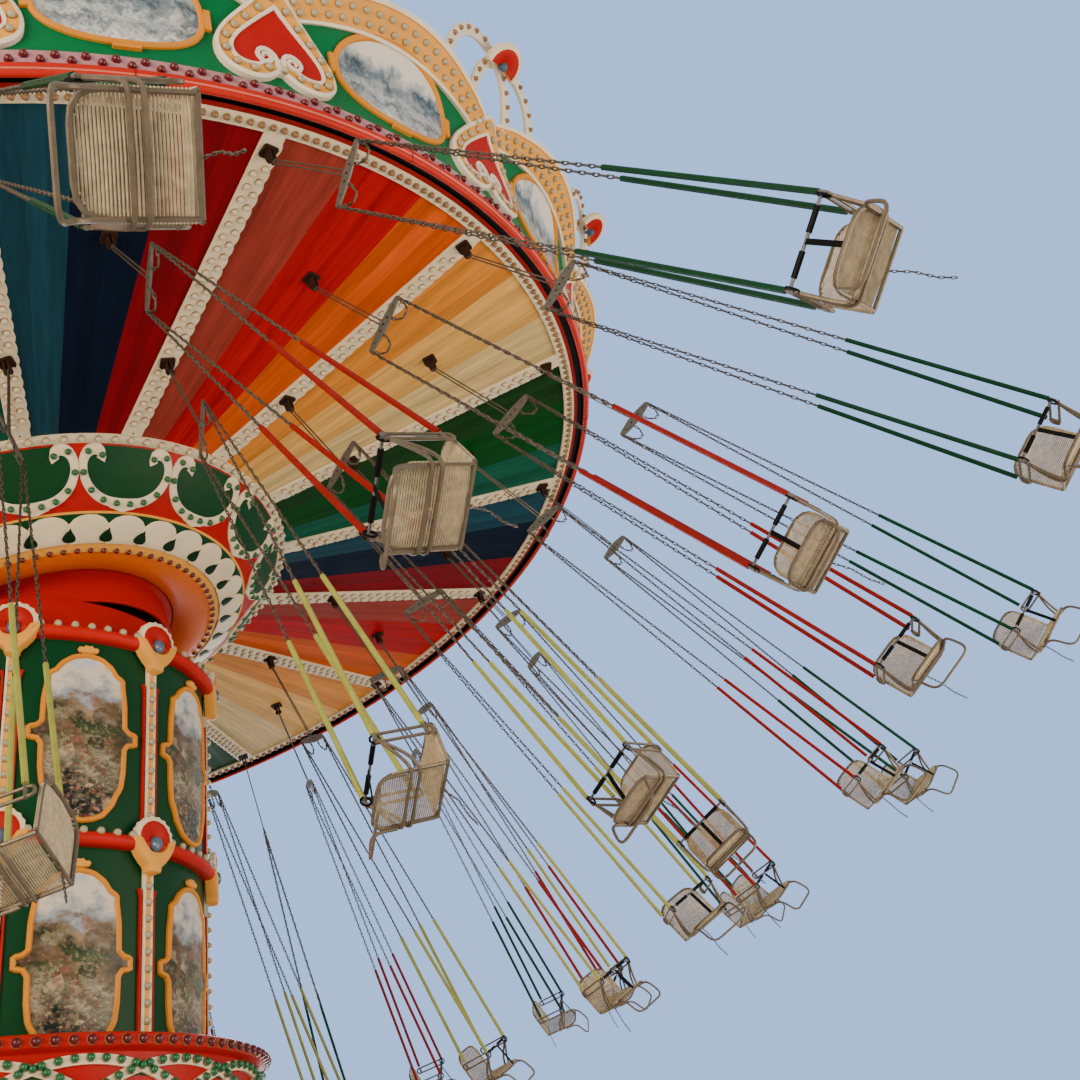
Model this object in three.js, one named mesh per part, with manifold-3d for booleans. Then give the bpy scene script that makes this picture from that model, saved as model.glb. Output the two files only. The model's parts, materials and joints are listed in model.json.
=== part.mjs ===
// Chair swing ride (wave swinger) in flight. Millimetres, +Z up, origin on the floor under the tower axis.
import * as THREE from 'three';
import { mergeVertices } from 'three/addons/utils/BufferGeometryUtils.js';
import Module from 'manifold-3d';

const wasm = await Module();
wasm.setup();

const TAU = 2 * Math.PI;
const GAP = 0.3;
const JOIN = 4;

// Canopy placement: pivot height, tilt and the azimuth of the tilt axis.
const PIVOT_Z = 7956;
const TILT = THREE.MathUtils.degToRad(-14.06);
const TILT_AZIMUTH = THREE.MathUtils.degToRad(58.41);

// Sixteen rays divide the canopy, and eight pilasters the tower.
const RAYS = 16;
const RAY_START = THREE.MathUtils.degToRad(-96.63);
const RAY_STEP = TAU / RAYS;
const PILASTERS = 8;
const PILASTER_START = THREE.MathUtils.degToRad(-97.9);
const FACETS = 32;

// Underside of the rays: a shallow cone between these two radii.
const RAY_INNER = { r: 2325, z: -197 };
const RAY_OUTER = { r: 5600, z: 0 };
const RAY_WIDTH = 180;
const BOARD = 25;
const CEILING = 35;
const BAND_INNER = 5490;

// Crown boards: foot, cusp on each ray, rise of the arches and depth of their border.
const CROWN_FOOT = 195;
const CUSP_Z = 960;
const ARCH_RISE = 200;
const BORDER_DROP = 90;

// Chair rows: hook radius, share of a ray step, outward pull against weight and its turn in flight.
const ROWS = [
  { name: 'outer', radius: 5350, shift: 0, pull: 0.786, trail: 10.6, sits: BOARD },
  { name: 'middle', radius: 4390, shift: 0.5, pull: 0.605, trail: 6.7, sits: 0 },
  { name: 'inner', radius: 3220, shift: 0, pull: 0.404, trail: -7.6, sits: BOARD },
];
const LEAN = [0.163, -0.106]; // share of weight by which all chairs lean to the canopy's high side
const PIN_DROP = 110;

// Chair, measured down the chains from the hook pin.
const EYE_HALF = 8;
const LUG_HALF = 38;
const LUG_THICK = 16;
const SPREADER_Z = -985;
const SEAT_Z = -5237; // underside of the seat
const SIDE_X = 232;
const SIDE_THICK = 12;

// Tower and base.
const TOWER_RADIUS = 1500;
const CASING_WALL = 60;
const CASING_BOTTOM = 2900;
const RING_HEIGHTS = [4862, 6635];
const CASING_TOP = 6700;
const TOP_PLATE = 60;
const MAST_RADIUS = 500;
const MAST_WALL = 60;
const MAST_BOTTOM = 1900;
const GUIDE_GAP = 0.5;
const GUIDE_TOP = 3200;
const BASE_TOP = 3330;
const BASE_RADIUS = 2000;
const BASE_WALL = 80;
const CHEEK_HALF = 450;
const CHEEK_THICK = 50;
const HUB_Z = 450;

// A three.js geometry as a manifold solid, turned to face out.
function solid(geometry) {
  const bare = geometry.clone();
  bare.deleteAttribute('normal');
  bare.deleteAttribute('uv');
  const merged = mergeVertices(bare, 1e-3);
  const index = merged.index ? Array.from(merged.index.array) : [];
  const kept = [];
  for (let i = 0; i < index.length; i += 3) {
    const [a, b, c] = index.slice(i, i + 3);
    if (a !== b && b !== c && a !== c) kept.push(a, b, c);
  }
  const vertProperties = new Float32Array(merged.attributes.position.array);
  const build = (list) => new wasm.Manifold(
    new wasm.Mesh({ numProp: 3, vertProperties, triVerts: new Uint32Array(list) }),
  );
  const made = build(kept);
  return made.volume() < 0 ? build(kept.reverse()) : made;
}

// A manifold solid as a three.js geometry.
function surface(made) {
  const mesh = made.getMesh();
  const positions = new Float32Array(mesh.numVert * 3);
  for (let i = 0; i < mesh.numVert; i++) {
    const first = i * mesh.numProp;
    positions.set(mesh.vertProperties.subarray(first, first + 3), i * 3);
  }
  const geometry = new THREE.BufferGeometry();
  geometry.setAttribute('position', new THREE.BufferAttribute(positions, 3));
  geometry.setIndex(new THREE.BufferAttribute(new Uint32Array(mesh.triVerts), 1));
  return geometry;
}

function join(solids) {
  return solids.reduce((all, one) => all.add(one));
}

// A closed profile of [radius, z] points turned about Z, with vertices on the given azimuth.
function turned(profile, facets = FACETS, azimuth = 0) {
  const points = profile.map(([r, z]) => new THREE.Vector2(r, z));
  if (profile[0][0] > 0) points.push(points[0].clone());
  const lathe = new THREE.LatheGeometry(points, facets, azimuth + Math.PI / 2, TAU);
  return lathe.rotateX(Math.PI / 2);
}

// A flat outline [[u, v], ...] extruded by depth and laid into the frame (uAxis, vAxis) at origin.
function plate(outline, depth, uAxis, vAxis, origin, holes = []) {
  const shape = new THREE.Shape(outline.map(([u, v]) => new THREE.Vector2(u, v)));
  for (const hole of holes) {
    shape.holes.push(new THREE.Path(hole.map(([u, v]) => new THREE.Vector2(u, v))));
  }
  const geometry = new THREE.ExtrudeGeometry(shape, { depth, bevelEnabled: false });
  const normal = new THREE.Vector3().crossVectors(uAxis, vAxis);
  const placed = new THREE.Matrix4().makeBasis(uAxis, vAxis, normal).setPosition(origin);
  return geometry.applyMatrix4(placed);
}

function block(x0, x1, y0, y1, z0, z1) {
  const geometry = new THREE.BoxGeometry(x1 - x0, y1 - y0, z1 - z0);
  return geometry.translate((x0 + x1) / 2, (y0 + y1) / 2, (z0 + z1) / 2);
}

function vec(x, y, z) {
  return new THREE.Vector3(x, y, z);
}

function polar(radius, azimuth, z) {
  return vec(radius * Math.cos(azimuth), radius * Math.sin(azimuth), z);
}

function rayAzimuth(k) {
  return RAY_START + k * RAY_STEP;
}

// Height of the rays' underside at a radius.
function rayZ(r) {
  const slope = (RAY_OUTER.z - RAY_INNER.z) / (RAY_OUTER.r - RAY_INNER.r);
  return RAY_INNER.z + (r - RAY_INNER.r) * slope;
}

// Base: a drum with a floor, and the guide tube that the mast slides in.
function baseDrum() {
  const guide = MAST_RADIUS + GUIDE_GAP;
  const floor = 60;
  return solid(turned([
    [0, 0],
    [2150, 0],
    [2150, 140],
    [BASE_RADIUS - 70, 180],
    [BASE_RADIUS - 70, BASE_TOP - 120],
    [BASE_RADIUS, BASE_TOP - 95],
    [BASE_RADIUS, BASE_TOP - 15],
    [BASE_RADIUS - 40, BASE_TOP],
    [BASE_RADIUS - 70 - BASE_WALL, BASE_TOP],
    [BASE_RADIUS - 70 - BASE_WALL, floor],
    [guide + 70, floor],
    [guide + 70, GUIDE_TOP],
    [guide, GUIDE_TOP],
    [guide, floor],
    [0, floor],
  ]));
}

// Mast: a tube open below, with the flange that the tower turns on.
function liftMast() {
  const top = CASING_TOP - TOP_PLATE - GAP;
  return solid(turned([
    [MAST_RADIUS - MAST_WALL, MAST_BOTTOM],
    [MAST_RADIUS, MAST_BOTTOM],
    [MAST_RADIUS, top - 60],
    [800, top - 60],
    [800, top],
    [MAST_RADIUS - MAST_WALL, top],
  ]));
}

// Tower casing: a round shell with a top plate, a neck and the two cheeks of the tilt pivot.
function towerCasing() {
  const half = Math.PI / FACETS;
  const inner = TOWER_RADIUS - CASING_WALL;
  const under = CASING_TOP - TOP_PLATE;
  const shell = solid(turned([
    [0, under],
    [inner, under],
    [inner, CASING_BOTTOM],
    [TOWER_RADIUS, CASING_BOTTOM],
    [TOWER_RADIUS, CASING_TOP],
    [1380, CASING_TOP + 20],
    [1200, CASING_TOP + 90],
    [1080, CASING_TOP + 100],
    [1060, CASING_TOP],
    [0, CASING_TOP],
  ], FACETS, PILASTER_START + half));
  const along = polar(1, TILT_AZIMUTH, 0);
  const across = vec(0, 0, 1).cross(along);
  const cheek = [[-330, CASING_TOP - JOIN], [330, CASING_TOP - JOIN], [190, PIVOT_Z], [100, PIVOT_Z + 170],
    [-100, PIVOT_Z + 170], [-190, PIVOT_Z]];
  const cheeks = [CHEEK_HALF + GAP, -CHEEK_HALF - GAP - CHEEK_THICK].map((start) => (
    solid(plate(cheek, CHEEK_THICK, across, vec(0, 0, 1), along.clone().multiplyScalar(start)))
  ));
  return join([shell, ...cheeks]);
}

// Scalloped shell on a pilaster head: half fan above, pointed calyx below.
function capital(azimuth, z) {
  const fan = [];
  for (let i = 0; i <= 4; i++) {
    const a = Math.PI * i / 4;
    fan.push([150 * Math.cos(a), 30 + 150 * Math.sin(a)]);
  }
  const outline = [[0, -230], [70, -120], ...fan, [-70, -120]];
  const out = polar(1, azimuth, 0);
  const u = vec(0, 0, 1).cross(out);
  const origin = out.multiplyScalar(TOWER_RADIUS + 24).setZ(z);
  return solid(plate(outline, 92, u, vec(0, 0, 1), origin));
}

// Tower trim: pilasters, the two ring mouldings and their shells, one frame round the casing.
function towerTrim() {
  const half = Math.PI / FACETS;
  const face = TOWER_RADIUS + GAP;
  const flat = face * Math.cos(half);
  const parts = RING_HEIGHTS.map((z) => solid(turned([
    [face, z - 55],
    [TOWER_RADIUS + 85, z - 55],
    [TOWER_RADIUS + 110, z],
    [TOWER_RADIUS + 85, z + 55],
    [face, z + 55],
  ], FACETS, PILASTER_START + half)));
  for (let j = 0; j < PILASTERS; j++) {
    const azimuth = PILASTER_START + j * TAU / PILASTERS;
    const rail = block(flat, TOWER_RADIUS + 30, -44, 44, CASING_BOTTOM, RING_HEIGHTS[1]);
    parts.push(solid(rail.rotateZ(azimuth)));
    for (const z of RING_HEIGHTS) parts.push(capital(azimuth, z));
  }
  return join(parts);
}

// Tilt head, in the canopy's frame: trunnion, bearing disc and the round skirt below it.
function tiltHead() {
  const top = HUB_Z - GAP;
  const skirt = solid(turned([
    [0, top - 60],
    [980, top - 60],
    [980, -800],
    [1020, -800],
    [1020, top],
    [0, top],
  ]));
  const trunnion = new THREE.CylinderGeometry(150, 150, 2 * CHEEK_HALF, 20);
  trunnion.rotateZ(-Math.PI / 2).rotateZ(TILT_AZIMUTH);
  const post = block(-400, 400, -90, 90, 0, top - 60 + JOIN).rotateZ(TILT_AZIMUTH);
  return join([skirt, solid(trunnion), solid(post)]);
}

// Collar under the canopy's middle: rim board, bowl and cove.
function collarDrum() {
  const rim = rayZ(2300) + BOARD - GAP;
  return solid(turned([
    [2335, rim],
    [2335, rim - 42],
    [2262, rim - 48],
    [2100, -400],
    [1815, -625],
    [1458, -765],
    [1260, -790],
    [1090, -700],
    [1090, -640],
    [1790, -580],
    [2060, -370],
    [2250, rim],
  ]));
}

// Hook lug: a tab standing down from the canopy beside the chair's eye, with the pin at the origin.
function hookLug(rise) {
  const start = EYE_HALF + 0.8;
  return block(-LUG_HALF, LUG_HALF, start, start + LUG_THICK, -LUG_HALF, rise);
}

// Every chair's pin and axes in the canopy's frame, with its swing angle from the canopy's normal.
function hangings() {
  const toWorld = new THREE.Quaternion().setFromAxisAngle(polar(1, TILT_AZIMUTH, 0), TILT);
  const toCanopy = toWorld.clone().invert();
  const list = [];
  for (const row of ROWS) {
    for (let k = 0; k < RAYS; k++) {
      const azimuth = rayAzimuth(k + row.shift);
      const pin = polar(row.radius, azimuth, rayZ(row.radius) + BOARD - row.sits - PIN_DROP);
      const pull = polar(row.pull, azimuth + THREE.MathUtils.degToRad(row.trail), 0);
      const down = pull.applyQuaternion(toWorld).add(vec(LEAN[0], LEAN[1], -1)).normalize();
      down.applyQuaternion(toCanopy);
      const back = vec(0, 0, 1).cross(down).normalize();
      const number = String(k + 1).padStart(2, '0');
      list.push({ name: `chair_${row.name}_${number}`, row: row.name, pin, down, back, sits: row.sits });
    }
  }
  return list;
}

function hooks(rows, rise) {
  return hangings().filter((chair) => rows.includes(chair.row)).map((chair) => {
    const out = chair.back.clone().cross(vec(0, 0, 1));
    const frame = new THREE.Matrix4().makeBasis(out, chair.back, vec(0, 0, 1)).setPosition(chair.pin);
    return solid(hookLug(PIN_DROP + rise).applyMatrix4(frame));
  });
}

// Ceiling: the painted cone, the well wall above the collar and the hub plate.
function canopyCeiling() {
  const rim = RAY_OUTER.r;
  const level = rayZ(2300) + BOARD;
  const cone = solid(turned([
    [0, HUB_Z],
    [1140, HUB_Z],
    [1140, level],
    [2300, level],
    [rim, rayZ(rim) + BOARD],
    [rim, rayZ(rim) + BOARD + CEILING],
    [2300, level + CEILING],
    [1180, level + CEILING],
    [1180, HUB_Z + 40],
    [0, HUB_Z + 40],
  ], FACETS, RAY_START));
  return join([cone, ...hooks(['middle'], 20)]);
}

// Rays and the bulb band that joins their outer ends, with the hooks of two rows.
function canopyRays() {
  const top = BOARD - GAP;
  const parts = [solid(turned([
    [BAND_INNER, rayZ(BAND_INNER)],
    [RAY_OUTER.r, rayZ(RAY_OUTER.r)],
    [RAY_OUTER.r, rayZ(RAY_OUTER.r) + top],
    [BAND_INNER, rayZ(BAND_INNER) + top],
  ], FACETS, RAY_START))];
  const start = 2342;
  const end = BAND_INNER + JOIN;
  const side = [[start, rayZ(start)], [end, rayZ(end)], [end, rayZ(end) + top], [start, rayZ(start) + top]];
  for (let k = 0; k < RAYS; k++) {
    const out = polar(1, rayAzimuth(k), 0);
    const across = out.clone().cross(vec(0, 0, 1));
    const origin = across.clone().multiplyScalar(-RAY_WIDTH / 2);
    parts.push(solid(plate(side, RAY_WIDTH, out, vec(0, 0, 1), origin)));
  }
  return join([...parts, ...hooks(['outer', 'inner'], 18)]);
}

// Rim: soffit of the dark gap, double tube and the bulb band that rises behind it.
function rimRing() {
  return solid(turned([
    [RAY_OUTER.r + GAP, 22],
    [5690, 22],
    [5690, -25],
    [5712, -38],
    [5750, -38],
    [5778, -12],
    [5778, 20],
    [5742, 52],
    [5756, CROWN_FOOT],
    [5700, CROWN_FOOT],
    [5690, 62],
    [RAY_OUTER.r + GAP, 62],
  ], FACETS, RAY_START));
}

// Top of the crown boards above the rim plane: one arch per sector, with a cusp on each ray.
function archTop(azimuth) {
  const u = ((azimuth - RAY_START) / RAY_STEP) % 1;
  return CUSP_Z + ARCH_RISE * Math.sin(Math.PI * ((u + 1) % 1)) ** 0.7;
}

// Outer radius of the crown boards: they lean out more towards the top.
function crownRadius(z) {
  const t = (z - CROWN_FOOT) / 1000;
  return 5742 + 140 * t + 500 * t ** 4;
}

// A ring wall whose [inset, height share] profile follows the arches, from one height to another.
function archWall(profile, facets) {
  const geometry = turned(profile.map(([, share], i) => [1000 + i, share]), facets, RAY_START);
  const position = geometry.attributes.position;
  for (let i = 0; i < position.count; i++) {
    const azimuth = Math.atan2(position.getY(i), position.getX(i));
    const first = Math.round(Math.hypot(position.getX(i), position.getY(i)) - 1000);
    const [inset, base, share] = profile[first];
    const z = base + share * archTop(azimuth);
    const placed = polar(crownRadius(z) - inset, azimuth, z);
    position.setXYZ(i, placed.x, placed.y, placed.z);
  }
  return solid(geometry);
}

// Crown boards behind the arch borders.
function crownPanels() {
  return archWall([
    [30, CROWN_FOOT + GAP, 0],
    [0, CROWN_FOOT + GAP, 0],
    [0, CROWN_FOOT * 0.35, 0.65],
    [0, -BORDER_DROP, 1],
    [30, -BORDER_DROP, 1],
    [30, CROWN_FOOT * 0.35, 0.65],
  ], 3 * RAYS);
}

// Crest ornament on a ray: two open arcs and a shell between them.
function crest(azimuth) {
  const outer = [[590, 170], [545, 560], [390, 750], [190, 720]];
  const inner = [[40, 10], [110, 520], [300, 670], [470, 540], [525, 170]];
  const shell = [[165, 800], [80, 910], [-80, 910], [-165, 800]];
  const mirrored = (points) => points.map(([u, v]) => [-u, v]).reverse();
  const outline = [...outer, ...shell, ...mirrored(outer), ...mirrored(inner), ...inner];
  const lean = THREE.MathUtils.degToRad(29.6);
  const out = polar(1, azimuth, 0);
  const u = vec(0, 0, 1).cross(out);
  const up = out.clone().multiplyScalar(Math.sin(lean)).setZ(Math.cos(lean));
  const foot = out.clone().multiplyScalar(crownRadius(CUSP_Z) - 40).setZ(CUSP_Z - 30);
  return solid(plate(outline, 40, u, up, foot));
}

// Crown trim: the arch border along the boards' top, with a crest on each ray.
function crownTrim() {
  const border = archWall([
    [34, -BORDER_DROP + 3 * GAP, 1],
    [-22, -BORDER_DROP + 3 * GAP, 1],
    [-22, 0, 1],
    [34, 0, 1],
  ], 3 * RAYS);
  const crests = [];
  for (let k = 0; k < RAYS; k++) crests.push(crest(rayAzimuth(k)));
  return join([border, ...crests]);
}

// Roof: a low cone on a middle post, with a small cap.
function canopyRoof() {
  return solid(turned([
    [0, HUB_Z + 40 + GAP],
    [150, HUB_Z + 40 + GAP],
    [150, 1120],
    [5560, 80],
    [5640, 80],
    [5640, 110],
    [760, 1160],
    [700, 1420],
    [150, 1560],
    [110, 1800],
    [0, 1840],
  ], FACETS, RAY_START));
}

// Chair in its own frame: pin at the origin, Z up along the chains, X outward, rider facing -Y.
function chair() {
  const [X, Y, Z] = [vec(1, 0, 0), vec(0, 1, 0), vec(0, 0, 1)];
  const eye = [[12, -24], [28, 4], [0, 30], [-28, 4], [-12, -24]];
  const low = SPREADER_Z - 40;
  const hanger = plate([
    ...eye,
    [-12, SPREADER_Z + 35],
    [-SIDE_X - 8, SPREADER_Z],
    [-SIDE_X - 8, low],
    [SIDE_X + 8, low],
    [SIDE_X + 8, SPREADER_Z],
    [12, SPREADER_Z + 35],
  ], 2 * EYE_HALF, X, Z, vec(0, EYE_HALF, 0));
  const below = (points) => points.map(([y, z]) => [y, SEAT_Z + z]);
  const outline = [[-11, -975], [11, -975], ...below([[178, 300], [218, -8], [-196, -8], [-322, -340],
    [-342, -333], [-208, 16], [-140, 270]])];
  const betweenChains = [[0, -1110], ...below([[-126, 286], [163, 312]])];
  const sides = [SIDE_X, -SIDE_X - SIDE_THICK].map((x) => (
    solid(plate(outline, SIDE_THICK, Y, Z, vec(x, 0, 0), [betweenChains]))
  ));
  const seat = plate(below([[-200, 0], [214, 0], [262, 390], [248, 392], [202, 16], [-200, 16]]),
    2 * SIDE_X + JOIN, Y, Z, vec(-SIDE_X - JOIN / 2, 0, 0));
  const bars = below([[-128, 276], [-330, -329]]).map(([y, z]) => {
    const half = 9;
    const section = [[y - half, z - half], [y + half, z - half], [y, z + half]];
    return solid(plate(section, 2 * SIDE_X + JOIN, Y, Z, vec(-SIDE_X - JOIN / 2, 0, 0)));
  });
  return join([solid(hanger), ...sides, solid(seat), ...bars]);
}

function named(name, geometry, color, roughness, metalness) {
  const material = new THREE.MeshStandardMaterial({ color, roughness, metalness });
  const mesh = new THREE.Mesh(geometry, material);
  mesh.name = name;
  return mesh;
}

const ride = new THREE.Group();
ride.add(named('base_drum', surface(baseDrum()), '#A32A22', 0.5, 0.1));
ride.add(named('lift_mast', surface(liftMast()), '#5A5F63', 0.4, 0.6));
ride.add(named('tower_casing', surface(towerCasing()), '#0B5A35', 0.45, 0.0));
ride.add(named('tower_trim', surface(towerTrim()), '#C4261C', 0.45, 0.0));

const canopy = new THREE.Group();
canopy.quaternion.setFromAxisAngle(polar(1, TILT_AZIMUTH, 0), TILT);
canopy.position.z = PIVOT_Z;
ride.add(canopy);
canopy.add(named('tilt_head', surface(tiltHead()), '#9E1F18', 0.5, 0.1));
canopy.add(named('collar_drum', surface(collarDrum()), '#D8CDB5', 0.5, 0.0));
canopy.add(named('canopy_ceiling', surface(canopyCeiling()), '#D0601E', 0.6, 0.0));
canopy.add(named('canopy_rays', surface(canopyRays()), '#D8CDB5', 0.55, 0.0));
canopy.add(named('rim_ring', surface(rimRing()), '#D8473A', 0.45, 0.0));
canopy.add(named('crown_panels', surface(crownPanels()), '#0A7A4A', 0.5, 0.0));
canopy.add(named('crown_trim', surface(crownTrim()), '#E8B46A', 0.5, 0.0));
canopy.add(named('canopy_roof', surface(canopyRoof()), '#B5A88C', 0.7, 0.0));

const chairGeometry = surface(chair());
for (const hanging of hangings()) {
  const up = hanging.down.clone().negate();
  const out = hanging.back.clone().cross(up);
  const placed = new THREE.Matrix4().makeBasis(out, hanging.back, up).setPosition(hanging.pin);
  canopy.add(named(hanging.name, chairGeometry.clone().applyMatrix4(placed), '#8C8F90', 0.35, 0.7));
}

export default ride;
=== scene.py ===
"""Chair swing ride in flight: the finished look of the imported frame, modelled with Blender's operators."""

import json
import logging
import math
from contextlib import contextmanager
from dataclasses import dataclass
from enum import Enum
from typing import Callable, Iterator, Sequence

import bmesh
import bpy
import numpy as np
from mathutils import Matrix, Vector

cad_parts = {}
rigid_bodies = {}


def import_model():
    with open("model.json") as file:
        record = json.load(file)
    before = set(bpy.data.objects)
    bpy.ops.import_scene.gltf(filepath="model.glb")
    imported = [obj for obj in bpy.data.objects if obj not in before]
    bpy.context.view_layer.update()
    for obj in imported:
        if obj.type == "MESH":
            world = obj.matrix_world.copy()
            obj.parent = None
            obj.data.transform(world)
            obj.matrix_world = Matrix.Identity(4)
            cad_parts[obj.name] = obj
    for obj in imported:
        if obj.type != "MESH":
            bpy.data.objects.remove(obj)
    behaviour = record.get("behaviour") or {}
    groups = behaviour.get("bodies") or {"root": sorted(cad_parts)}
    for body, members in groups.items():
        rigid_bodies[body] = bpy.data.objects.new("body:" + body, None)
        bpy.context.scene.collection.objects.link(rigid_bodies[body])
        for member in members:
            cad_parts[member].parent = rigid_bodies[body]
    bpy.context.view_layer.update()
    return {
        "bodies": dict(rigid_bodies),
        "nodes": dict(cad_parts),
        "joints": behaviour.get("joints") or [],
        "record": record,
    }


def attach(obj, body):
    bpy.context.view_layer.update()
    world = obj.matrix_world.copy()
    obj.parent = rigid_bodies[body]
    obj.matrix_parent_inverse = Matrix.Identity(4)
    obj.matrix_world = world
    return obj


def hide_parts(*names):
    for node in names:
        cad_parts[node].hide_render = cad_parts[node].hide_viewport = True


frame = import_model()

LOG = logging.getLogger("swing_ride")
TAU = 2.0 * math.pi
Outline = Sequence[tuple[float, float]] | np.ndarray
UPRIGHT = np.array([0.0, 0.0, 1.0])

# Canopy placement, as in the frame: pivot height, tilt and the azimuth of the tilt axis.
PIVOT_Z = 7.956
TILT = math.radians(-14.06)
TILT_AZIMUTH = math.radians(58.41)
RAYS = 16
RAY_START = math.radians(-96.63)
RAY_STEP = TAU / RAYS
# Underside of the rays in the canopy's frame: height at the inner end, rise per metre, cosine of that slope.
RAY_INNER_RADIUS = 2.325
RAY_INNER_Z = -0.197
RAY_SLOPE = 0.060153
RAY_COSINE = 0.9982
# Height of the ceiling over the rays' underside, and of a hook's foot over its chair's pin.
RAY_DEPTH = 0.025
HOOK_DROP = 0.11
PILASTERS = 8
PILASTER_START = math.radians(-97.9)
TILT_AXIS = Vector((math.cos(TILT_AZIMUTH), math.sin(TILT_AZIMUTH), 0.0))
CANOPY = Matrix.Translation((0.0, 0.0, PIVOT_Z)) @ Matrix.Rotation(TILT, 4, TILT_AXIS)
LEVEL = Matrix.Identity(4)


class Paint(Enum):
    """Colours of the ride, as sRGB hex values; two of them are painted highlight and shade, as marked."""

    CREAM = "#E4D6B6"
    WHITE = "#E8DFCB"
    RED = "#AB0B07"
    DEEP_RED = "#8A100D"
    BULB_RED = "#5C0712"
    RING_RED = "#BC160E"
    # Painted highlight along the groove between the rim's two coral rolls.
    CORAL = "#BC2414"
    CORAL_LIGHT = "#DE7C6B"
    PINK = "#B98590"
    GREEN = "#033D1E"
    CROWN_GREEN = "#036B3D"
    BULB_GREEN = "#036238"
    YELLOW = "#E8A342"
    FRAME_YELLOW = "#D98B26"
    ORANGE = "#D5640C"
    AMBER = "#8A6440"
    BULB_CREAM = "#CFC3A4"
    FROST = "#A9A184"
    GEM = "#4C637C"
    BLACK = "#040404"
    # Brown of the lamp sockets, darker than pale caps as painted shade of the recess round them.
    SOCKET = "#8C7A5E"
    STEEL = "#6E7072"
    TUBE = "#756A5B"
    LINK = "#5F574D"
    PLATE = "#696660"
    RUST = "#3A261D"
    TEAL = "#1A4354"
    NAVY = "#08162C"
    CRIMSON = "#7C0A18"
    BRICK = "#95392F"
    SCARLET = "#B1070A"
    TANGERINE = "#CF560F"
    APRICOT = "#DF8D33"
    STRAW = "#E2AE5E"
    SAND = "#D2B87F"
    BOTTLE = "#143C17"
    EMERALD = "#034514"
    SEA = "#0F5745"
    LIME = "#A2A650"
    SLEEVE_RED = "#8A120D"
    SLEEVE_GREEN = "#033B20"
    CANE = "#C6B798"
    PUTTY = "#B9AE96"
    BATTEN = "#8D8474"


def to_linear(colour: str) -> tuple[float, float, float]:
    """Turns an sRGB hex colour into linear light.

    Args:
        colour: Six hex digits after a hash sign.

    Returns:
        Red, green and blue from 0 to 1.
    """
    parts = [int(colour[i : i + 2], 16) / 255.0 for i in (1, 3, 5)]
    return tuple(c / 12.92 if c <= 0.04045 else ((c + 0.055) / 1.055) ** 2.4 for c in parts)


def mixed(first: Paint, second: Paint, share: float) -> np.ndarray:
    """Mixes two paints in linear light.

    Args:
        first: Paint at share 0.
        second: Paint at share 1.
        share: Part of the second paint.

    Returns:
        Linear red, green and blue.
    """
    a, b = np.array(to_linear(first.value)), np.array(to_linear(second.value))
    return a * (1.0 - share) + b * share


def clear_selection() -> None:
    """Deselects every object, the frame's nodes among them."""
    bpy.ops.object.select_all(action="DESELECT")


def pick(piece: bpy.types.Object) -> None:
    """Makes a piece the only selected and the active one."""
    clear_selection()
    piece.select_set(True)
    bpy.context.view_layer.objects.active = piece


@contextmanager
def editing(piece: bpy.types.Object, everything: bool = True) -> Iterator[bmesh.types.BMesh]:
    """Opens a piece in edit mode and closes it again.

    Args:
        piece: The mesh object to shape.
        everything: Whether all of it starts selected, or nothing.

    Yields:
        Its edit mesh, for selecting faces and edges by place.
    """
    pick(piece)
    bpy.ops.object.mode_set(mode="EDIT")
    bpy.ops.mesh.select_all(action="SELECT" if everything else "DESELECT")
    yield bmesh.from_edit_mesh(piece.data)
    bpy.ops.object.mode_set(mode="OBJECT")


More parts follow.
